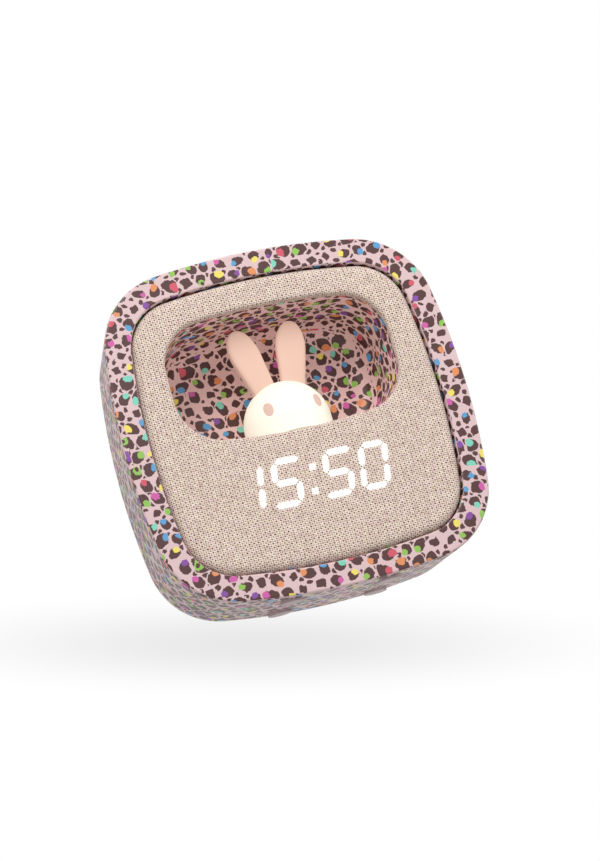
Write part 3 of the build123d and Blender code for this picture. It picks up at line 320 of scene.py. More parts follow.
def dress(piece, finish):
    """Gives a piece or a CAD node one finish."""
    if not piece.material_slots:
        piece.data.materials.append(finish)
    for place in piece.material_slots:
        place.material = finish


# ---------------------------------------------------------------- shader writing


class Field:
    """A value that varies over a surface: an expression on it adds its Math nodes."""

    def __init__(self, writer, socket):
        self.writer, self.socket = writer, socket

    def math(self, operation, *others):
        values = dict(enumerate((self, *others)))
        return self.writer.value("ShaderNodeMath", {"operation": operation}, values)

    def __add__(self, other):
        return self.math("ADD", other)

    def __mul__(self, other):
        return self.math("MULTIPLY", other)

    def __sub__(self, other):
        return self.math("SUBTRACT", other)

    def __truediv__(self, other):
        return self.math("DIVIDE", other)

    def __rsub__(self, other):
        return (self * -1) + other

    def __lt__(self, other):
        return self.math("LESS_THAN", other)

    def __gt__(self, other):
        return self.math("GREATER_THAN", other)

    def __abs__(self):
        return self.math("ABSOLUTE")

    __radd__ = __add__
    __rmul__ = __mul__

    def least(self, other):
        return self.math("MINIMUM", other)

    def most(self, other):
        return self.math("MAXIMUM", other)

    def floor(self):
        return self.math("FLOOR")

    def cosine(self):
        return self.math("COSINE")

    def below(self, limit, soft):
        """1 where the value is under the limit, 0 where it is over it, with a soft step between."""
        return self.writer.value(
            "ShaderNodeMapRange",
            {"interpolation_type": "SMOOTHSTEP"},
            {"Value": self - limit, "From Min": -soft, "From Max": soft, "To Min": 1.0, "To Max": 0.0},
        )


def set_stops(ramp, interpolation, stops):
    ramp.interpolation = interpolation
    while len(ramp.elements) < len(stops):
        ramp.elements.new(1)
    for element, (place, tone) in zip(ramp.elements, stops):
        element.position = place
        element.color = (*tone, 1)


class NodeWriter:
    """Writes the nodes of one tree, from an empty one."""

    def __init__(self, tree):
        self.tree = tree
        tree.nodes.clear()

    def connect(self, socket, value):
        """Links a field or a node to a socket, or sets the socket to a number, vector or colour."""
        if isinstance(value, Field):
            self.tree.links.new(value.socket, socket)
        elif isinstance(value, bpy.types.Node):
            self.tree.links.new(value.outputs[0], socket)
        elif hasattr(socket.default_value, "__len__") and len(socket.default_value) == 4 and len(value) == 3:
            socket.default_value = (*value, 1)
        else:
            socket.default_value = value

    def add(self, kind, settings=None, inputs=None):
        """A node of a type, with its settings made first, and then the values or links of its sockets."""
        node = self.tree.nodes.new(kind)
        for key, value in (settings or {}).items():
            if key == "stops":
                set_stops(node.color_ramp, *value)
            else:
                setattr(node, key, value)
        for key, value in (inputs or {}).items():
            self.connect(node.inputs[key], value)
        return node

    def value(self, kind, settings=None, inputs=None, output=0):
        return Field(self, self.add(kind, settings, inputs).outputs[output])

    def vector(self, operation, *values, output=0):
        return self.value("ShaderNodeVectorMath", {"operation": operation}, dict(enumerate(values)), output)

    def scaled(self, vector, factor):
        return self.value("ShaderNodeVectorMath", {"operation": "SCALE"}, {0: vector, "Scale": factor})

    def distance(self, x, y):
        """How far a point lies from the middle of its own plane."""
        return self.vector("LENGTH", self.join(x, y), output="Value")

    def mix(self, factor, first, second):
        """A colour between two colours."""
        return self.value("ShaderNodeMix", {"data_type": "RGBA"}, {0: factor, 6: first, 7: second}, 2)

    def ramp(self, factor, stops, interpolation="LINEAR"):
        return self.value("ShaderNodeValToRGB", {"stops": (interpolation, stops)}, {0: factor})

    def object_point(self):
        """Object coordinates in metres."""
        return self.value("ShaderNodeTexCoord", output="Object")

    def noise(self, place, scale, detail=2.0, roughness=0.5, output="Fac"):
        inputs = {"Vector": place, "Scale": scale, "Detail": detail, "Roughness": roughness}
        return self.value("ShaderNodeTexNoise", None, inputs, output)

    def swirl(self, place, scale, detail, roughness, size):
        """A smooth random vector, up to about half of size either way."""
        turbulence = self.noise(place, scale, detail, roughness, "Color")
        return self.scaled(self.vector("SUBTRACT", turbulence, (0.5, 0.5, 0.5)), size)

    def split(self, vector):
        node = self.add("ShaderNodeSeparateXYZ", None, {0: vector})
        return [Field(self, socket) for socket in node.outputs]

    def join(self, x, y, z=0.0):
        return self.value("ShaderNodeCombineXYZ", None, {0: x, 1: y, 2: z})


class Finish(NodeWriter):
    """One procedural material."""

    def __init__(self, name, **constants):
        self.material = bpy.data.materials.new(name)
        self.material.use_nodes = True
        super().__init__(self.material.node_tree)
        self.output = self.add("ShaderNodeOutputMaterial")
        self.shader = self.add("ShaderNodeBsdfPrincipled")
        self.show(self.shader)
        self.put(**constants)

    def show(self, node):
        """Makes a shader node the surface."""
        self.connect(self.output.inputs[0], node)

    def put(self, **sockets):
        """Sets or links sockets of the surface shader; an underscore stands for a space."""
        for key, value in sockets.items():
            self.connect(self.shader.inputs[key.replace("_", " ")], value)

    def glow(self, strength, tone):
        """Light that the surface gives off: a strength that varies, and its colour."""
        self.put(Emission_Color=self.mix(strength, BLACK, tone))

    def bump(self, height, distance, strength=1.0):
        inputs = {"Strength": strength, "Distance": distance, "Height": height}
        self.put(Normal=self.value("ShaderNodeBump", None, inputs))


def toned(tone, factor):
    """A linear colour made darker or lighter."""
    return [min(1, c * factor) for c in tone]


# ---------------------------------------------------------------- sizes and colours


def length(name, description, default):
    return FloatProperty(name=name, description=description, default=default * MM, unit="LENGTH", precision=5)


def colour(name, description, *default):
    return FloatVectorProperty(
        name=name, description=description, default=linear(*default), subtype="COLOR", min=0, max=1
    )


def share(name, description, default):
    return FloatProperty(name=name, description=description, default=default, subtype="FACTOR", min=0, max=1)


class PrintSettings(bpy.types.PropertyGroup):
    """Animal print on the case and in the niche."""

    ground: colour("Ground", "Pink between the spots", 217, 187, 188)
    # The niche's ground is the same pink as the case's, set lighter as painted light against the shade in the
    # niche.
    lightened_niche_ground: colour("Niche ground", "Pink between the spots in the niche", 228, 192, 188)
    # The niche glow is painted light: the niche's print gives off a share of its colour, standing in for the
    # night light's light on it and lifting its shade.
    niche_painted_light: share("Niche glow", "Light that the night light throws on the print of the niche", 0.145)
    spot: colour("Spots", "Dark brown of the spots", 69, 36, 34)
    pitch: length("Pitch", "Distance between rosettes", 6.2)
    rosette: length("Rosette radius", "Radius of a full rosette", 2.9)
    speck: length("Speck radius", "Radius of the small spots between rosettes", 1.0)
    wander: length("Wander", "How far the rows of rosettes wander from straight lines", 3.4)


class ClothSettings(bpy.types.PropertyGroup):
    """Woven cloth on the front panel and the digits that shine through it."""

    warp: length("Warp pitch", "Distance from one upright thread to the next", 0.86)
    weft: length("Weft pitch", "Distance from one level thread to the next", 0.785)
    cream: colour("Cream yarn", "Light yarn", 248, 234, 219)
    rose: colour("Rose yarn", "Yarn of the middle tone", 226, 204, 192)
    brown: colour("Brown yarn", "Dark yarn", 184, 153, 143)
    pinhole: colour("Pinholes", "Dark gaps between threads", 64, 42, 38)
    light: colour("Digits", "Light of the digits", 255, 254, 248)
    bar_width: length("Bar width", "Width of a bar of a digit", 2.3)
    bar_gap: length("Bar gap", "Gap where two bars meet", 0.42)


class LampSettings(bpy.types.PropertyGroup):
    """Rabbit night light."""

    shade: colour("Head", "Milky plastic of the head", 228, 226, 216)
    glow: share("Glow", "How bright the head shines", 0.3)
    ear_root: colour("Ear root", "Peach near the head", 203, 170, 153)
    ear_tip: colour("Ear tip", "Peach at the tip", 212, 174, 158)
    eye: colour("Eyes", "Pale salmon of the eyes", 226, 192, 178)


class StageSettings(bpy.types.PropertyGroup):
    """Floor, lamps and camera."""

    ambient: FloatProperty(name="Ambient", description="Strength of the light from all round", default=0.55)
    key: FloatProperty(name="Key lamp", description="Power of the main lamp", default=8.3, unit="POWER")
    fill: FloatProperty(name="Fill lamp", description="Power of the lamp opposite", default=3.0, unit="POWER")
    lens: FloatProperty(name="Lens", description="Focal length in millimetres", default=112.14)


# ---------------------------------------------------------------- print


def round_the_side(x, z, shape):
    """Distance round an outline from the middle of its right side, and the whole way round."""
    side_radius, top_radius, beside, below, turn_x, turn_z, side_end, top_end = outline_arcs(shape)
    corner, corner_end = shape[4], math.pi / 2 - top_end
    wide, tall = abs(x), abs(z)
    side = tall.math("ARCTAN2", wide + beside).least(side_end)
    turn = (tall - turn_z).math("ARCTAN2", wide - turn_x).most(side_end).least(corner_end)
    top = wide.math("ARCTAN2", tall + below).least(top_end)
    along = side * side_radius + (turn - side_end) * corner + (top_end - top) * top_radius
    quarter = side_end * side_radius + (corner_end - side_end) * corner + top_end * top_radius
    left, low = x < 0.0, z < 0.0
    return along * (1.0 - 2 * low) * (1.0 - 2 * left) + 2 * quarter * left, 4 * quarter


# A point as the print sees it: its place, its coordinates on the print, the whole way round, whether the
# print lies flat there, how far the seam is, and a coarse and a fine wobble for the edges of the spots.
Chart = namedtuple("Chart", "here u v whole flat seam wobble fine")


def print_chart(paint, settings, shape, rise, rounding):
    """The print's own coordinates: flat over the faces and wrapped round the sides, with a seam between."""
    place = {"Location": FACE_CENTRE, "Rotation": (-LEAN, 0, 0), "Scale": (MM, MM, MM)}
    here = paint.value(
        "ShaderNodeMapping", {"vector_type": "TEXTURE"}, {"Vector": paint.object_point(), **place}
    )
    normal = paint.value("ShaderNodeTexCoord", output="Normal")
    facing = paint.value(
        "ShaderNodeMapping", {"vector_type": "VECTOR"}, {"Vector": normal, "Rotation": (LEAN, 0, 0)}
    )
    x, depth, z = paint.split(here)
    wobble = (paint.noise(here, 0.42, 1.0, 0.5) - 0.5) * 1.7
    fine = (paint.noise(here, 1.1, 0.0, 0.5) - 0.5) * 0.9
    steep = abs(paint.split(facing)[1]) + wobble * 0.12
    flat = steep > FLAT_FROM
    start, radius = rounding
    seam = abs(steep - FLAT_FROM) * (1.4 * radius) - 0.3
    around, whole = round_the_side(x, z - rise, shape)
    bend = ((depth - start) / radius).most(0.0).least(1.0).math("ARCSINE") * radius
    back = depth.least(start) + bend
    warp_u, warp_v, _ = paint.split(paint.swirl(here, 0.1, 1.0, 0.5, settings.wander / MM))
    u = around + (x - around) * flat + warp_u
    v = back + (z - back) * flat + warp_v
    return Chart(here, u, v, whole, flat, seam, wobble, fine)


def chances(paint, chart, column, row, columns, seed):
    """Three draws for one cell. The columns repeat after a whole way round, so that the print closes up."""
    cell = paint.join(column.math("WRAP", columns, 0.0) + 0.5, row + 0.5, chart.flat * 7 + seed)
    return paint.split(paint.value("ShaderNodeTexWhiteNoise", None, {"Vector": cell}, "Color"))


def turned(across, up, angle):
    """A point turned about the middle, by an angle in whole turns."""
    cosine, sine = (angle * TURN).cosine(), (angle * TURN).math("SINE")
    return across * cosine + up * sine, up * cosine - across * sine


def rosettes(paint, chart, settings, columns, wide, high):
    """The dark spot of each cell, the accent in the bite of most of them, and a pupil in large lime ones."""
    rows = chart.v / high
    row = rows.floor()
    across = chart.u / wide - (row / 2).math("FRACT")
    column = across.floor()
    spot_u, spot_v = (across - column - 0.5) * wide, (rows - row - 0.5) * high
    border = (wide / 2 - abs(spot_u)).least(high / 2 - abs(spot_v)).least(chart.seam)

    # The cell's draws put the spot a little aside and turn it.
    shift_u, shift_v, angle = chances(paint, chart, column, row, columns, 0.5)
    pick, luck, size = chances(paint, chart, column, row, columns, 40.5)
    bean_u, bean_v = turned(spot_u - (shift_u - 0.5) * 1.1, spot_v - (shift_v - 0.5) * 0.8, angle)
    accented, large = luck > ACCENT_FROM, luck > LARGE_FROM
    plain = 1.0 - accented

    # The spot is round with a bite taken out where it has an accent, and squarer where it has none.
    reach = settings.rosette / MM * (0.62 + 0.3 * size) * (0.8 + 0.2 * accented) + large * 0.45
    away = paint.distance(bean_u * 0.92, bean_v * 1.08)
    square = abs(bean_u).most(abs(bean_v)) * 0.85 + away * 0.3
    away = away + (square - away) * plain
    bite = reach * 0.62 - paint.distance(bean_u - reach * 1.28, bean_v)
    edge = away + chart.wobble + chart.fine * 0.7 - reach
    edge = edge.most(0.22 - border).most(bite - OUT_OF_REACH * plain)

    # The accent lies in the bite.
    centre = reach * (0.74 - 0.12 * large)
    accent_reach = reach * (0.56 + 0.05 * large)
    accent_edge = paint.distance(bean_u - centre, bean_v) + chart.fine * 0.9 - accent_reach
    accent = accent_edge.most(0.1 - border).below(0.0, SPOT_EDGE) * accented
    pupil_away = paint.distance(bean_u - centre - 0.45, bean_v - 0.4) + chart.fine * 0.4
    pupil = pupil_away.below(0.78, SPOT_EDGE) * large * (pick < LIME_TO)
    return edge, accent, pupil, pick


def specks(paint, chart, settings, columns, wide, high, rosette_edge):
    """Small spots on the lines between the rows, two for each rosette, where the rosettes leave room."""
    step = (chart.u / (wide / 2) + 0.5).floor()
    line = (chart.v / high + 0.5).floor()
    odd = ((step + line) / 2).math("FRACT") * 2
    size, angle, luck = chances(paint, chart, step, line, 2 * columns, 80.5)
    across = chart.u - step * (wide / 2)
    up = chart.v - line * high - (1.0 - 2 * odd) * (0.17 * high)
    speck_u, speck_v = turned(across, up, angle)
    away = paint.distance(speck_u * 1.2, speck_v * 0.85)
    edge = away + chart.fine - settings.speck / MM * (0.7 + 0.45 * size)
    room = edge.most(0.6 - rosette_edge).most(0.1 - chart.seam)
    return room.below(0.0, SPOT_EDGE) * (luck > SPECK_FROM)


def animal_print(name, ground, settings, shape=CASE, rise=0.0, rounding=CASE_ROUNDING, painted_light_share=0.0):
    """Rosettes and specks on a pale ground; the last argument is the share of its colour that the print gives
    off as painted light.
    """
    paint = Finish(name, Coat_Weight=0.06, Coat_Roughness=0.3)
    chart = print_chart(paint, settings, shape, rise, rounding)
    columns = round(chart.whole / (settings.pitch / MM))
    wide = chart.whole / columns
    cells = (columns, wide, CELL_HEIGHT * wide)
    edge, accent, pupil, pick = rosettes(paint, chart, settings, *cells)
    spot = edge.below(0.0, SPOT_EDGE)
    speck = specks(paint, chart, settings, *cells, edge) * (1.0 - accent)

    drift = paint.noise(chart.here, 0.05, 3.0, 0.6)
    base = paint.mix(drift, toned(ground, 0.95), toned(ground, 1.04))
    dark = paint.mix(drift, settings.spot, toned(settings.spot, 1.2))
    accents = [(place, linear(*tone)) for place, tone in ACCENTS]
    skin = paint.mix(spot.most(speck), base, dark)
    skin = paint.mix(accent, skin, paint.ramp(pick, accents, "CONSTANT"))
    skin = paint.mix(pupil, skin, dark)
    grain = paint.noise(chart.here, 2.2, 2.0, 0.6)
    paint.put(Base_Color=skin, Roughness=0.4 + 0.14 * grain - 0.05 * spot)
    paint.bump(grain * 0.25 + spot.most(accent) * 0.5, 0.00002, 0.6)
    # Painted light: the print gives off a share of its own colour, to lift the shade in the niche.
    if painted_light_share:
        paint.put(Emission_Color=skin, Emission_Strength=painted_light_share)
    return paint.material


class CLOCK_OT_print(bpy.types.Operator):
    """Lays the animal print over the case and the niche, and finishes the pads underneath in its mean tone"""

    bl_idname = "alarm_clock.print_case"
    bl_label = "Printed case and niche"

    def execute(self, context):
        settings = context.scene.clock_print
        dress(NODES["case_shell"], animal_print("printed_case", settings.ground, settings))
        # The niche's print has a lighter ground and gives off some light of its own, both painted light
        # against the shade in the niche.
        liner = animal_print(
            "printed_niche",
            settings.lightened_niche_ground,
            settings,
            shape=WINDOW,
            rise=WINDOW_RISE,
            rounding=NICHE_ROUNDING,
            painted_light_share=settings.niche_painted_light,
        )
        dress(NODES["niche_liner"], liner)
        dress(NODES["feet"], moulded("clear_pads", linear(194, 174, 175), 0.5))
        return {"FINISHED"}


# ---------------------------------------------------------------- woven front


def cloth_ring(shape, rise, inset, depth, slack):
    """A ring at an inset and depth, with its cloth coordinates, which lie further out by slack."""
    points = [case_point(x, depth, z + rise) for x, z in outline(shape, inset)]
    cloth = [(x, z + rise) for x, z in outline(shape, inset - slack)]
    return points, cloth


def cloth_rings():
    """Rings of the cloth from inside the window, over its edge, across the face and round the outer edge.

    Each entry is a ring of points in the case frame with the cloth's own coordinates of the same points."""
    rings = []
    quarter_turn = math.pi / 2
    for depth in WINDOW_WALL_DEPTHS:
        slack = WINDOW_ROLL * (2 - quarter_turn) - depth
        rings.append(cloth_ring(WINDOW, WINDOW_RISE, 0.0, depth, slack))
    for k in range(ROLL_STEPS + 1):
        turn = quarter_turn * (1 - k / ROLL_STEPS)
        inset, depth = -WINDOW_ROLL * (1 - math.sin(turn)), WINDOW_ROLL * (1 - math.cos(turn))
        slack = -WINDOW_ROLL * (turn - math.sin(turn))
        rings.append(cloth_ring(WINDOW, WINDOW_RISE, inset, depth, slack))
    inner = [(x, z + WINDOW_RISE) for x, z in outline(WINDOW, -WINDOW_ROLL)]
    outer = outline(CASE, CLOTH_INSET + CLOTH_ROLL)
    for k in range(1, FLAT_STEPS):
        part = k / FLAT_STEPS
        flat = [(a[0] + (b[0] - a[0]) * part, a[1] + (b[1] - a[1]) * part) for a, b in zip(inner, outer)]
        rings.append(([case_point(x, 0, z) for x, z in flat], flat))
    for k in range(2 * ROLL_STEPS + 1):
        turn = quarter_turn * k / (2 * ROLL_STEPS)
        inset, depth = CLOTH_INSET + CLOTH_ROLL * (1 - math.sin(turn)), CLOTH_ROLL * (1 - math.cos(turn))
        slack = CLOTH_ROLL * (turn - math.sin(turn))
        rings.append(cloth_ring(CASE, 0.0, inset, depth, slack))
    slack = CLOTH_END - CLOTH_ROLL * (2 - quarter_turn)
    rings.append(cloth_ring(CASE, 0.0, CLOTH_INSET, CLOTH_END, slack))
    return rings


def write_cloth_map(piece, cloth):
    """Keeps the cloth's own coordinates, in metres, so that the weave follows its rolled edges."""
    layer = piece.data.uv_layers.new(name=CLOTH_MAP)
    for loop in piece.data.loops:
        u, v = cloth[loop.vertex_index]
        layer.data[loop.index].uv = (u * MM, v * MM)


def digits_distance(u, v, settings):
    """Millimetres to the lit bars of 15:50, below 0 inside them, from the cloth's coordinates."""
    aside = u - DIGIT_CENTRE[0]
    z = (v - DIGIT_CENTRE[1] + aside * DIGIT_DROOP) / (DIGIT_GROWTH - aside * DIGIT_TAPER)
    x = aside - z * DIGIT_SLANT
    apart, left = abs(x), x < 0.0
    near, far = DIGIT_PLACES
    outer = apart > (near + far) / 2
    one, nought, five = outer * left, outer * (1.0 - left), 1.0 - outer
    local = (apart - near - outer * (far - near) - one * ONE_ASIDE) * (1.0 - 2 * left)
    half, gap = settings.bar_width / MM / 2, settings.bar_gap / MM
    reach_x, reach_z = BAR_REACH
    free = five * FREE_END
    upper, lower = z - reach_z / 2, z + reach_z / 2

    def bar(across, along, reach):
        """Distance to a bar whose ends are cut to a blunt point."""
        blunt = (abs(across) + abs(along)) - (reach - gap)
        return (abs(across) - half).most(blunt)

    bars = (
        bar(abs(z) - reach_z, local - free * (1.0 - 2 * (z < 0.0)), free + reach_x) + one * OUT_OF_REACH,
        bar(z, local, reach_x) + outer * OUT_OF_REACH,
        bar(local - reach_x, upper, reach_z / 2) + five * OUT_OF_REACH,
        bar(local - reach_x, lower, reach_z / 2),
        bar(local + reach_x, upper, reach_z / 2) + one * OUT_OF_REACH,
        bar(local + reach_x, lower, reach_z / 2) + (1.0 - nought) * OUT_OF_REACH,
    )
    nearest = abs(abs(z + DOT_DROP) - DOT_RISE).most(abs(x - DOT_ASIDE)) - half
    for distance in bars:
        nearest = nearest.least(distance)
    return nearest


def weave(settings):
    """Melange yarns in a plain weave, with dark gaps between, and the light of the digits through it."""
    yarn = Finish("woven_cloth", Roughness=0.9, Sheen_Weight=0.35, Sheen_Roughness=0.5)
    yarn.put(Specular_IOR_Level=0.15, Emission_Strength=1.0)
    cloth = yarn.scaled(yarn.value("ShaderNodeUVMap", {"uv_map": CLOTH_MAP}), 1 / MM)
    u, v, _ = yarn.split(yarn.vector("ADD", cloth, yarn.swirl(cloth, 0.5, 2.0, 0.6, 0.75)))
    warp, weft = u / (settings.warp / MM), v / (settings.weft / MM)
    warp_row, weft_row = (warp + 0.5).floor(), (weft + 0.5).floor()
    over = ((warp_row + weft_row) / 2).math("FRACT") > 0.25
    beside, above = (warp * math.pi).cosine(), (weft * math.pi).cosine()
    crown = beside * above

    # The dark gaps: pinholes between four crossings, and grooves along both sets of yarns.
    groove = crown * 0.26 + beside * (beside * 0.7 + 0.09) + above * (above * 0.9 + 0.04)
    patchy = 0.55 + 0.9 * yarn.noise(cloth, 1.1, 1.0, 0.6)
    hole = ((groove - 0.72) * 1.3).most(0.0).least(1.0) * patchy

    # The yarn on top gives its tone, which drifts along it and changes from one yarn to the next.
    along_weft = yarn.noise(yarn.join(u * 0.35, weft_row * 7.31), 1.0, 1.0, 0.5)
    along_warp = yarn.noise(yarn.join(warp_row * 5.17, v * 0.35, 3.0), 1.0, 1.0, 0.5)
    tone = along_weft + (along_warp - along_weft) * over
    yarns = yarn.ramp(tone, [(0.1, settings.brown), (0.4, settings.rose), (0.62, settings.cream)])
    chance = yarn.value("ShaderNodeTexWhiteNoise", None, {"Vector": yarn.join(warp_row, weft_row)})
    hue = yarn.mix(chance, (1.0, 1.0, 0.9), (1.0, 0.925, 1.0))
    cloth_colour = yarn.mix(hole, yarn.vector("MULTIPLY", yarns, hue), settings.pinhole)

    edge = digits_distance(*yarn.split(cloth)[:2], settings)
    lit = (edge + hole * 0.12).below(0.05, 0.32)
    halo = edge.below(0.6, 1.4)
    yarn.put(Base_Color=yarn.mix(lit * 0.9, cloth_colour, (0.3, 0.29, 0.28)))
    yarn.glow(lit * (0.94 - 0.14 * hole) + halo * (1.0 - lit) * 0.06, settings.light)
    yarn.bump((1.0 - crown) * 0.5 - hole * 0.5 + 0.3 * along_weft, 0.00018, 0.8)
    return yarn.material


class CLOCK_OT_cloth(bpy.types.Operator):
    """Wraps the front panel in woven cloth, with the digits shining through it"""

    bl_idname = "alarm_clock.weave_front"
    bl_label = "Woven front with digits"

    def execute(self, context):
        rings = cloth_rings()
        piece = stack_rings("woven_cover", [points for points, _ in rings])
        write_cloth_map(piece, [spot for _, cloth in rings for spot in cloth])
        face_forwards(piece)
        apply_modifier(piece, "SOLIDIFY", thickness=CLOTH_THICKNESS * MM, offset=-1, use_even_offset=True)
        smooth(piece, 50)
        dress(piece, weave(context.scene.clock_cloth))
        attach(piece, "clock")
        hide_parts("fabric_cover")
        return {"FINISHED"}


# ---------------------------------------------------------------- night light


def lamp_shade(settings):
    """Milky plastic that is lit from inside, creamier towards its left, where its glow is also turned up as
    painted light to make up for the shading that falls off there.
    """
    milk = Finish("lamp_milk", Roughness=0.5, Specular_IOR_Level=0.3, Emission_Strength=1.0)
    place = milk.object_point()
    x, _, _ = milk.split(milk.scaled(place, 1 / MM))
    cloudy = milk.noise(place, 90.0, 2.0, 0.5)
    cream = ((x * -1) - 6.0).most(0.0) / 12
    tint = milk.mix(cream, (1.0, 0.96, 0.7), linear(255, 244, 216))
    milk.put(Base_Color=milk.mix(cloudy, settings.shade, toned(settings.shade, 0.96)))
    # Painted light: the glow grows towards the left, to make up for the shading that falls off at that edge.
    milk.glow((0.94 + 0.12 * cloudy) * (1.0 + cream * 0.45) * settings.glow, tint)
    milk.bump(milk.noise(place, 1800.0, 2.0, 0.5), 0.00002, 0.3)
    return milk.material


def ear_skin(settings):
    """Soft peach with painted light: a glow that evens out the shade of the niche on the ears, stronger
    towards the tips.
    """
    soft = Finish("ear_soft_touch", Roughness=0.62, Specular_IOR_Level=0.25, Emission_Strength=1.0)
    place = soft.object_point()
    _, _, z = soft.split(soft.scaled(place, 1 / MM))
    up = ((z - 84.0) / 24).most(0.0).least(1.0)
    cloudy = soft.noise(place, 120.0, 3.0, 0.6)
    tone = soft.mix(up, settings.ear_root, settings.ear_tip)
    soft.put(Base_Color=soft.mix(cloudy * 0.5, tone, soft.scaled(tone, 0.93)))
    # Painted light: the glow evens out the niche's shade on the ears and lights the tips more.
    soft.glow(0.385 + up * 0.1, settings.ear_root)
    soft.bump(soft.noise(place, 2600.0, 2.0, 0.5), 0.00002, 0.5)
    return soft.material


def eye_skin(settings):
    """Salmon inlay that glows faintly."""
    soft = Finish("eye_inlay", Roughness=0.55, Specular_IOR_Level=0.3, Emission_Strength=1.0)
    cloudy = soft.noise(soft.object_point(), 300.0, 2.0, 0.5)
    soft.put(Base_Color=soft.mix(cloudy, settings.eye, toned(settings.eye, 0.93)))
    soft.glow(0.05 + cloudy * 0.05, settings.eye)
    return soft.material


def ear_width(part):
    """Half width of an ear in millimetres, at a part of its height from 0 at the root to 1 at the tip."""
    blade = EAR_ROOT + (EAR_BROAD - EAR_ROOT) * min(part / EAR_SHOULDER, 1)
    over = max(0.0, (part - EAR_SHOULDER) / (1 - EAR_SHOULDER))
    return blade * (1 - over**2.2) ** 0.5


def ear_rings(spread, tilt, tall):
    """Rings up an ear, closer together towards its tip: flat in front, with soft edges."""
    tilt = math.radians(tilt)
    rings = []
    for k in range(EAR_STEPS + 1):
        part = math.sin(math.pi / 2 * k / EAR_STEPS) ** 0.9 if k else 0.0
        half = max(ear_width(part), 0.05)
        thick = EAR_THICKNESS / 2 * (1 - EAR_THINNING * part) * min(1, half / 3.2) ** 0.5
        along = -EAR_PEG + (tall + EAR_PEG) * part
        ring = []
        for i in range(EAR_ROUND):
            turn = TURN * i / EAR_ROUND
            out, deep = math.cos(turn), math.sin(turn)
            out = math.copysign(abs(out) ** EAR_SQUARENESS, out) * half
            deep = math.copysign(abs(deep) ** EAR_SQUARENESS, deep) * thick
            x = spread + out * math.cos(tilt) + along * math.sin(tilt)
            z = EAR_BASE - out * math.sin(tilt) + along * math.cos(tilt)
            ring.append(case_point(x, EAR_DEPTH + deep, z))
        rings.append(ring)
    return rings


class CLOCK_OT_night_light(bpy.types.Operator):
    """Builds the rabbit's soft ears and finishes its glowing head and its eyes"""

    bl_idname = "alarm_clock.build_night_light"
    bl_label = "Rabbit night light"

    def execute(self, context):
        settings = context.scene.clock_lamp
        dress(NODES["lamp_head"], lamp_shade(settings))
        ears = ear_skin(settings)
        for name, place in EAR_PLACES.items():
            piece = stack_rings("rabbit_ear_" + name, ear_rings(*place), closed=True)
            smooth(piece, 60)
            dress(piece, ears)
            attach(piece, "clock")
            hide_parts("lamp_ear_" + name)
        dress(NODES["lamp_eyes"], eye_skin(settings))
        return {"FINISHED"}


# ---------------------------------------------------------------- plain finishes


def moulded(name, tone, roughness, grain=1400.0, depth=0.00002):
    """Moulded plastic: a fine even grain with a faint drift of tone."""
    plastic = Finish(name, Specular_IOR_Level=0.4)
    place = plastic.object_point()
    drift = plastic.noise(place, 60.0, 3.0, 0.6)
    fine = plastic.noise(place, grain, 2.0, 0.6)
    plastic.put(Base_Color=plastic.mix(drift, toned(tone, 0.92), toned(tone, 1.06)))
    plastic.put(Roughness=roughness + (fine - 0.5) * 0.16)
    plastic.bump(fine, depth, 0.5)
    return plastic.material


def metal(name, tone, roughness):
    """Drawn or plated metal: fine streaks that vary its gloss."""
    plated = Finish(name, Metallic=1.0)
    place = plated.vector("MULTIPLY", plated.object_point(), (1.0, 1.0, 14.0))
    streaks = plated.noise(place, 700.0, 3.0, 0.7)
    plated.put(Base_Color=plated.mix(streaks, toned(tone, 0.82), tone))
    plated.put(Roughness=roughness + (streaks - 0.5) * 0.22)
    plated.bump(streaks, 0.00001, 0.4)
    return plated.material


def laminate():
    """Circuit board: a green mask over tracks that run round square pads."""
    board = Finish("board_mask", Roughness=0.35, Coat_Weight=0.25, Coat_Roughness=0.2)
    place = board.scaled(board.object_point(), 1 / MM)
    inputs = {"Vector": place, "Scale": 0.45, "Randomness": 0.35}
    pads = board.value("ShaderNodeTexVoronoi", {"distance": "CHEBYCHEV"}, inputs, "Distance")
    tracks = pads.below(0.42, 0.04) - pads.below(0.34, 0.04)
    ground = board.mix(board.noise(place, 0.2), linear(16, 78, 44), linear(22, 92, 54))
    board.put(Base_Color=board.mix(tracks, ground, linear(46, 132, 74)))
    board.bump(tracks, 0.00003, 0.5)
    return board.material


class CLOCK_OT_controls(bpy.types.Operator):
    """Finishes the back cover, the buttons, the slider, the socket and the screws"""

    bl_idname = "alarm_clock.finish_controls"
    bl_label = "Back, buttons and screws"

    def execute(self, context):
        cover = moulded("cover_grain", linear(214, 178, 180), 0.55, 1100.0, 0.00004)
        keys = moulded("key_satin", linear(236, 214, 212), 0.36, 2200.0, 0.00001)
        dress(NODES["back_cover"], cover)
        for node in (
            "set_button", "minus_button", "plus_button", "light_button", "alarm_slider", "snooze_button",
        ):
            dress(NODES[node], keys)
        dress(NODES["socket_shell"], metal("socket_steel", linear(196, 196, 200), 0.3))
        dress(NODES["socket_tongue"], moulded("socket_tongue_black", linear(30, 30, 32), 0.45))
        screws = metal("screw_zinc", linear(186, 186, 190), 0.32)
        for node in NODES:
            if node.endswith("_screws"):
                dress(NODES[node], screws)
        return {"FINISHED"}


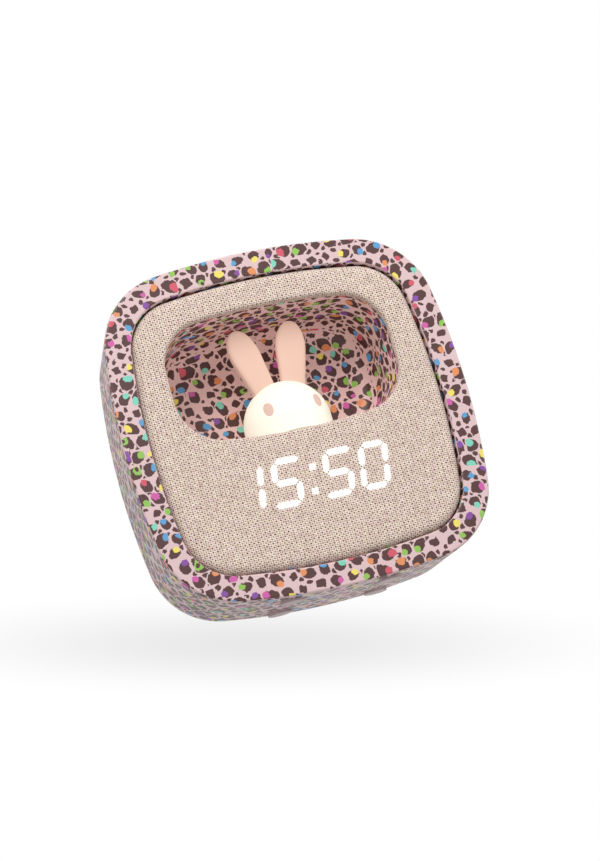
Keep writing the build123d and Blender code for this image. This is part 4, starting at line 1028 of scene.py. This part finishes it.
class CLOCK_OT_inside(bpy.types.Operator):
    """Finishes what the case holds: carrier, boards, display, battery, speaker, switches and leads"""

    bl_idname = "alarm_clock.finish_inside"
    bl_label = "Works inside the case"

    def execute(self, context):
        finishes = {
            ("panel_carrier",): moulded("carrier_grain", linear(226, 218, 210), 0.6),
            ("lamp_board", "display_board", "main_board", "snooze_board"): laminate(),
            ("lamp_leds", "display_leds"): moulded("led_lens", linear(250, 244, 206), 0.25, 600.0),
            ("digit_lights",): moulded("light_resin", linear(250, 250, 244), 0.3, 500.0),
            ("display_diffuser",): moulded("diffuser_frost", linear(242, 242, 240), 0.7),
            ("display_reflector",): moulded("reflector_white", linear(240, 240, 240), 0.5),
            ("battery_tray",): moulded("tray_grey", linear(60, 60, 64), 0.6),
            ("battery_cell",): moulded("cell_wrap", linear(112, 132, 158), 0.28, 300.0),
            ("rear_switches", "snooze_switch"): moulded("switch_black", linear(34, 34, 36), 0.5),
            (
                "set_plunger", "minus_plunger", "plus_plunger", "light_plunger", "snooze_plunger",
            ): moulded("plunger_black", linear(44, 44, 46), 0.45),
            ("slide_switch",): metal("switch_steel", linear(190, 190, 190), 0.4),
            ("speaker_basket",): moulded("basket_black", linear(44, 44, 46), 0.35, 800.0),
            ("speaker_magnet",): metal("magnet_iron", linear(98, 98, 102), 0.5),
            ("speaker_cone",): moulded("cone_paper", linear(40, 40, 42), 0.8, 500.0, 0.0001),
            ("board_plugs",): moulded("plug_ivory", linear(236, 230, 212), 0.5),
            ("board_chips",): moulded("chip_epoxy", linear(28, 28, 30), 0.6),
            (
                "lamp_lead", "battery_lead", "speaker_lead", "snooze_lead",
            ): moulded("lead_sleeve_red", linear(168, 40, 40), 0.45),
            ("display_ribbon",): moulded("ribbon_film", linear(232, 222, 196), 0.3, 300.0),
        }
        for nodes, finish in finishes.items():
            for node in nodes:
                dress(NODES[node], finish)
        return {"FINISHED"}


# ---------------------------------------------------------------- stage


def floor_paint():
    """Pale matt floor that fades into the backdrop, and is clear from below, so as not to hide the clock."""
    paint = Finish("floor_pale", Roughness=0.95, Specular_IOR_Level=0.0)
    place = paint.object_point()
    paint.put(Base_Color=paint.mix(paint.noise(place, 30.0), (0.92, 0.92, 0.92), (0.94, 0.94, 0.94)))
    behind = paint.value("ShaderNodeNewGeometry", output="Backfacing")
    near = paint.vector("LENGTH", place, output="Value").below(FLOOR_REACH, FLOOR_FADE)
    clear = paint.add("ShaderNodeBsdfTransparent")
    hidden = behind.most(1.0 - near)
    paint.show(paint.add("ShaderNodeMixShader", None, {0: hidden, 1: paint.shader, 2: clear}))
    return paint.material


def painted_shadow_film():
    """A painted shadow: a grey film that dims the backdrop behind it softly, and fades to clear at its edge.
    """
    paint = Finish("painted_shadow")
    uv = paint.value("ShaderNodeTexCoord", output="UV")
    away = paint.vector("LENGTH", paint.vector("SUBTRACT", uv, (0.5, 0.5, 0)), output="Value") * 2
    tone = paint.mix(away.below(0.5, 0.5), WHITE, (SHADE_TONE,) * 3)
    paint.show(paint.add("ShaderNodeBsdfTransparent", None, {"Color": tone}))
    return paint.material


def add_lamp(name, place, size, power):
    """A round soft lamp that is turned to the clock."""
    bpy.ops.object.light_add(type="AREA", location=place)
    lamp = bpy.context.object
    lamp.name = name
    lamp.data.shape = "DISK"
    lamp.data.size = size
    lamp.data.energy = power
    lamp.rotation_euler = (LAMP_AIM - Vector(place)).to_track_quat("-Z", "Y").to_euler()


def studio_world(ambient):
    """White where the backdrop is seen, straight or in a shiny or clear piece, and dimmer as a light."""
    world = bpy.data.worlds.new("studio")
    world.use_nodes = True
    sky = NodeWriter(world.node_tree)
    path = sky.add("ShaderNodeLightPath")
    rays = ("Is Camera Ray", "Is Glossy Ray", "Is Transmission Ray")
    straight, shiny, clear = (Field(sky, path.outputs[ray]) for ray in rays)
    light = sky.add("ShaderNodeBackground", None, {"Color": WHITE, "Strength": ambient})
    backdrop = sky.add("ShaderNodeBackground", None, {"Color": WHITE, "Strength": 1.0})
    blend = sky.add("ShaderNodeMixShader", None, {0: straight.most(shiny).most(clear), 1: light, 2: backdrop})
    sky.add("ShaderNodeOutputWorld", None, {0: blend})
    return world


class CLOCK_OT_stage(bpy.types.Operator):
    """Sets out the floor, the painted shadow under the clock, the lamps, the world and the camera"""

    bl_idname = "alarm_clock.build_stage"
    bl_label = "Floor, light and camera"

    def execute(self, context):
        settings = context.scene.clock_stage
        deselect_all()
        bpy.ops.mesh.primitive_plane_add(size=FLOOR_SIZE, location=(0, 0, 0))
        floor = context.object
        floor.name = "floor"
        dress(floor, floor_paint())

        # A painted shadow below the clock, set in the camera's frame: a film that greys the backdrop, not a
        # shadow that the lamps cast.
        bpy.ops.mesh.primitive_grid_add(x_subdivisions=2, y_subdivisions=2, size=1, location=(0, 0, 0))
        shade = context.object
        shade.name = "painted_shadow"
        axes = Matrix((CAMERA_RIGHT, CAMERA_UP, -CAMERA_FORWARD)).transposed().to_4x4()
        forwards, right, up = SHADE_PLACE
        middle = CAMERA_PLACE + CAMERA_FORWARD * forwards + CAMERA_RIGHT * right + CAMERA_UP * up
        shade.data.transform(Matrix.Translation(middle) @ axes @ Matrix.Diagonal((*SHADE_SIZE, 1, 1)))
        dress(shade, painted_shadow_film())
        for prop in (floor, shade):
            for rays in ("diffuse", "glossy", "transmission", "shadow"):
                setattr(prop, "visible_" + rays, False)

        add_lamp("key_lamp", place=(-0.25, -0.8, 0.85), size=0.7, power=settings.key)
        add_lamp("fill_lamp", place=(0.9, -0.45, 0.35), size=0.8, power=settings.fill)
        add_lamp("back_lamp", place=(0.3, 0.9, 0.7), size=0.8, power=settings.fill)
        context.scene.world = studio_world(settings.ambient)

        bpy.ops.object.camera_add()
        camera = context.object
        camera.name = "camera"
        camera.data.lens = settings.lens
        camera.data.sensor_width = 36
        camera.data.clip_start = 0.01
        camera.matrix_world = Matrix.Translation(CAMERA_PLACE) @ axes
        context.scene.camera = camera
        context.scene.view_settings.view_transform = "Standard"
        return {"FINISHED"}


# ---------------------------------------------------------------- add-on


class CLOCK_PT_panel(bpy.types.Panel):
    """Steps that dress the alarm clock"""

    bl_idname = "CLOCK_PT_panel"
    bl_label = "Alarm clock"
    bl_space_type = "VIEW_3D"
    bl_region_type = "UI"
    bl_category = "Alarm clock"

    def draw(self, context):
        for operator in OPERATORS:
            self.layout.operator(operator.bl_idname)
        for name in SETTINGS:
            group = getattr(context.scene, name)
            box = self.layout.box()
            for key in group.__annotations__:
                box.prop(group, key)


OPERATORS = (
    CLOCK_OT_stage,
    CLOCK_OT_print,
    CLOCK_OT_cloth,
    CLOCK_OT_night_light,
    CLOCK_OT_controls,
    CLOCK_OT_inside,
)
SETTINGS = {
    "clock_print": PrintSettings,
    "clock_cloth": ClothSettings,
    "clock_lamp": LampSettings,
    "clock_stage": StageSettings,
}


def register():
    for group in SETTINGS.values():
        bpy.utils.register_class(group)
    for name, group in SETTINGS.items():
        setattr(bpy.types.Scene, name, PointerProperty(type=group))
    for operator in OPERATORS:
        bpy.utils.register_class(operator)
    bpy.utils.register_class(CLOCK_PT_panel)


def unregister():
    bpy.utils.unregister_class(CLOCK_PT_panel)
    for operator in reversed(OPERATORS):
        bpy.utils.unregister_class(operator)
    for name, group in SETTINGS.items():
        delattr(bpy.types.Scene, name)
        bpy.utils.unregister_class(group)


def main():
    register()
    for operator in OPERATORS:
        group, name = operator.bl_idname.split(".")
        getattr(getattr(bpy.ops, group), name)()


if __name__ == "__main__":
    main()
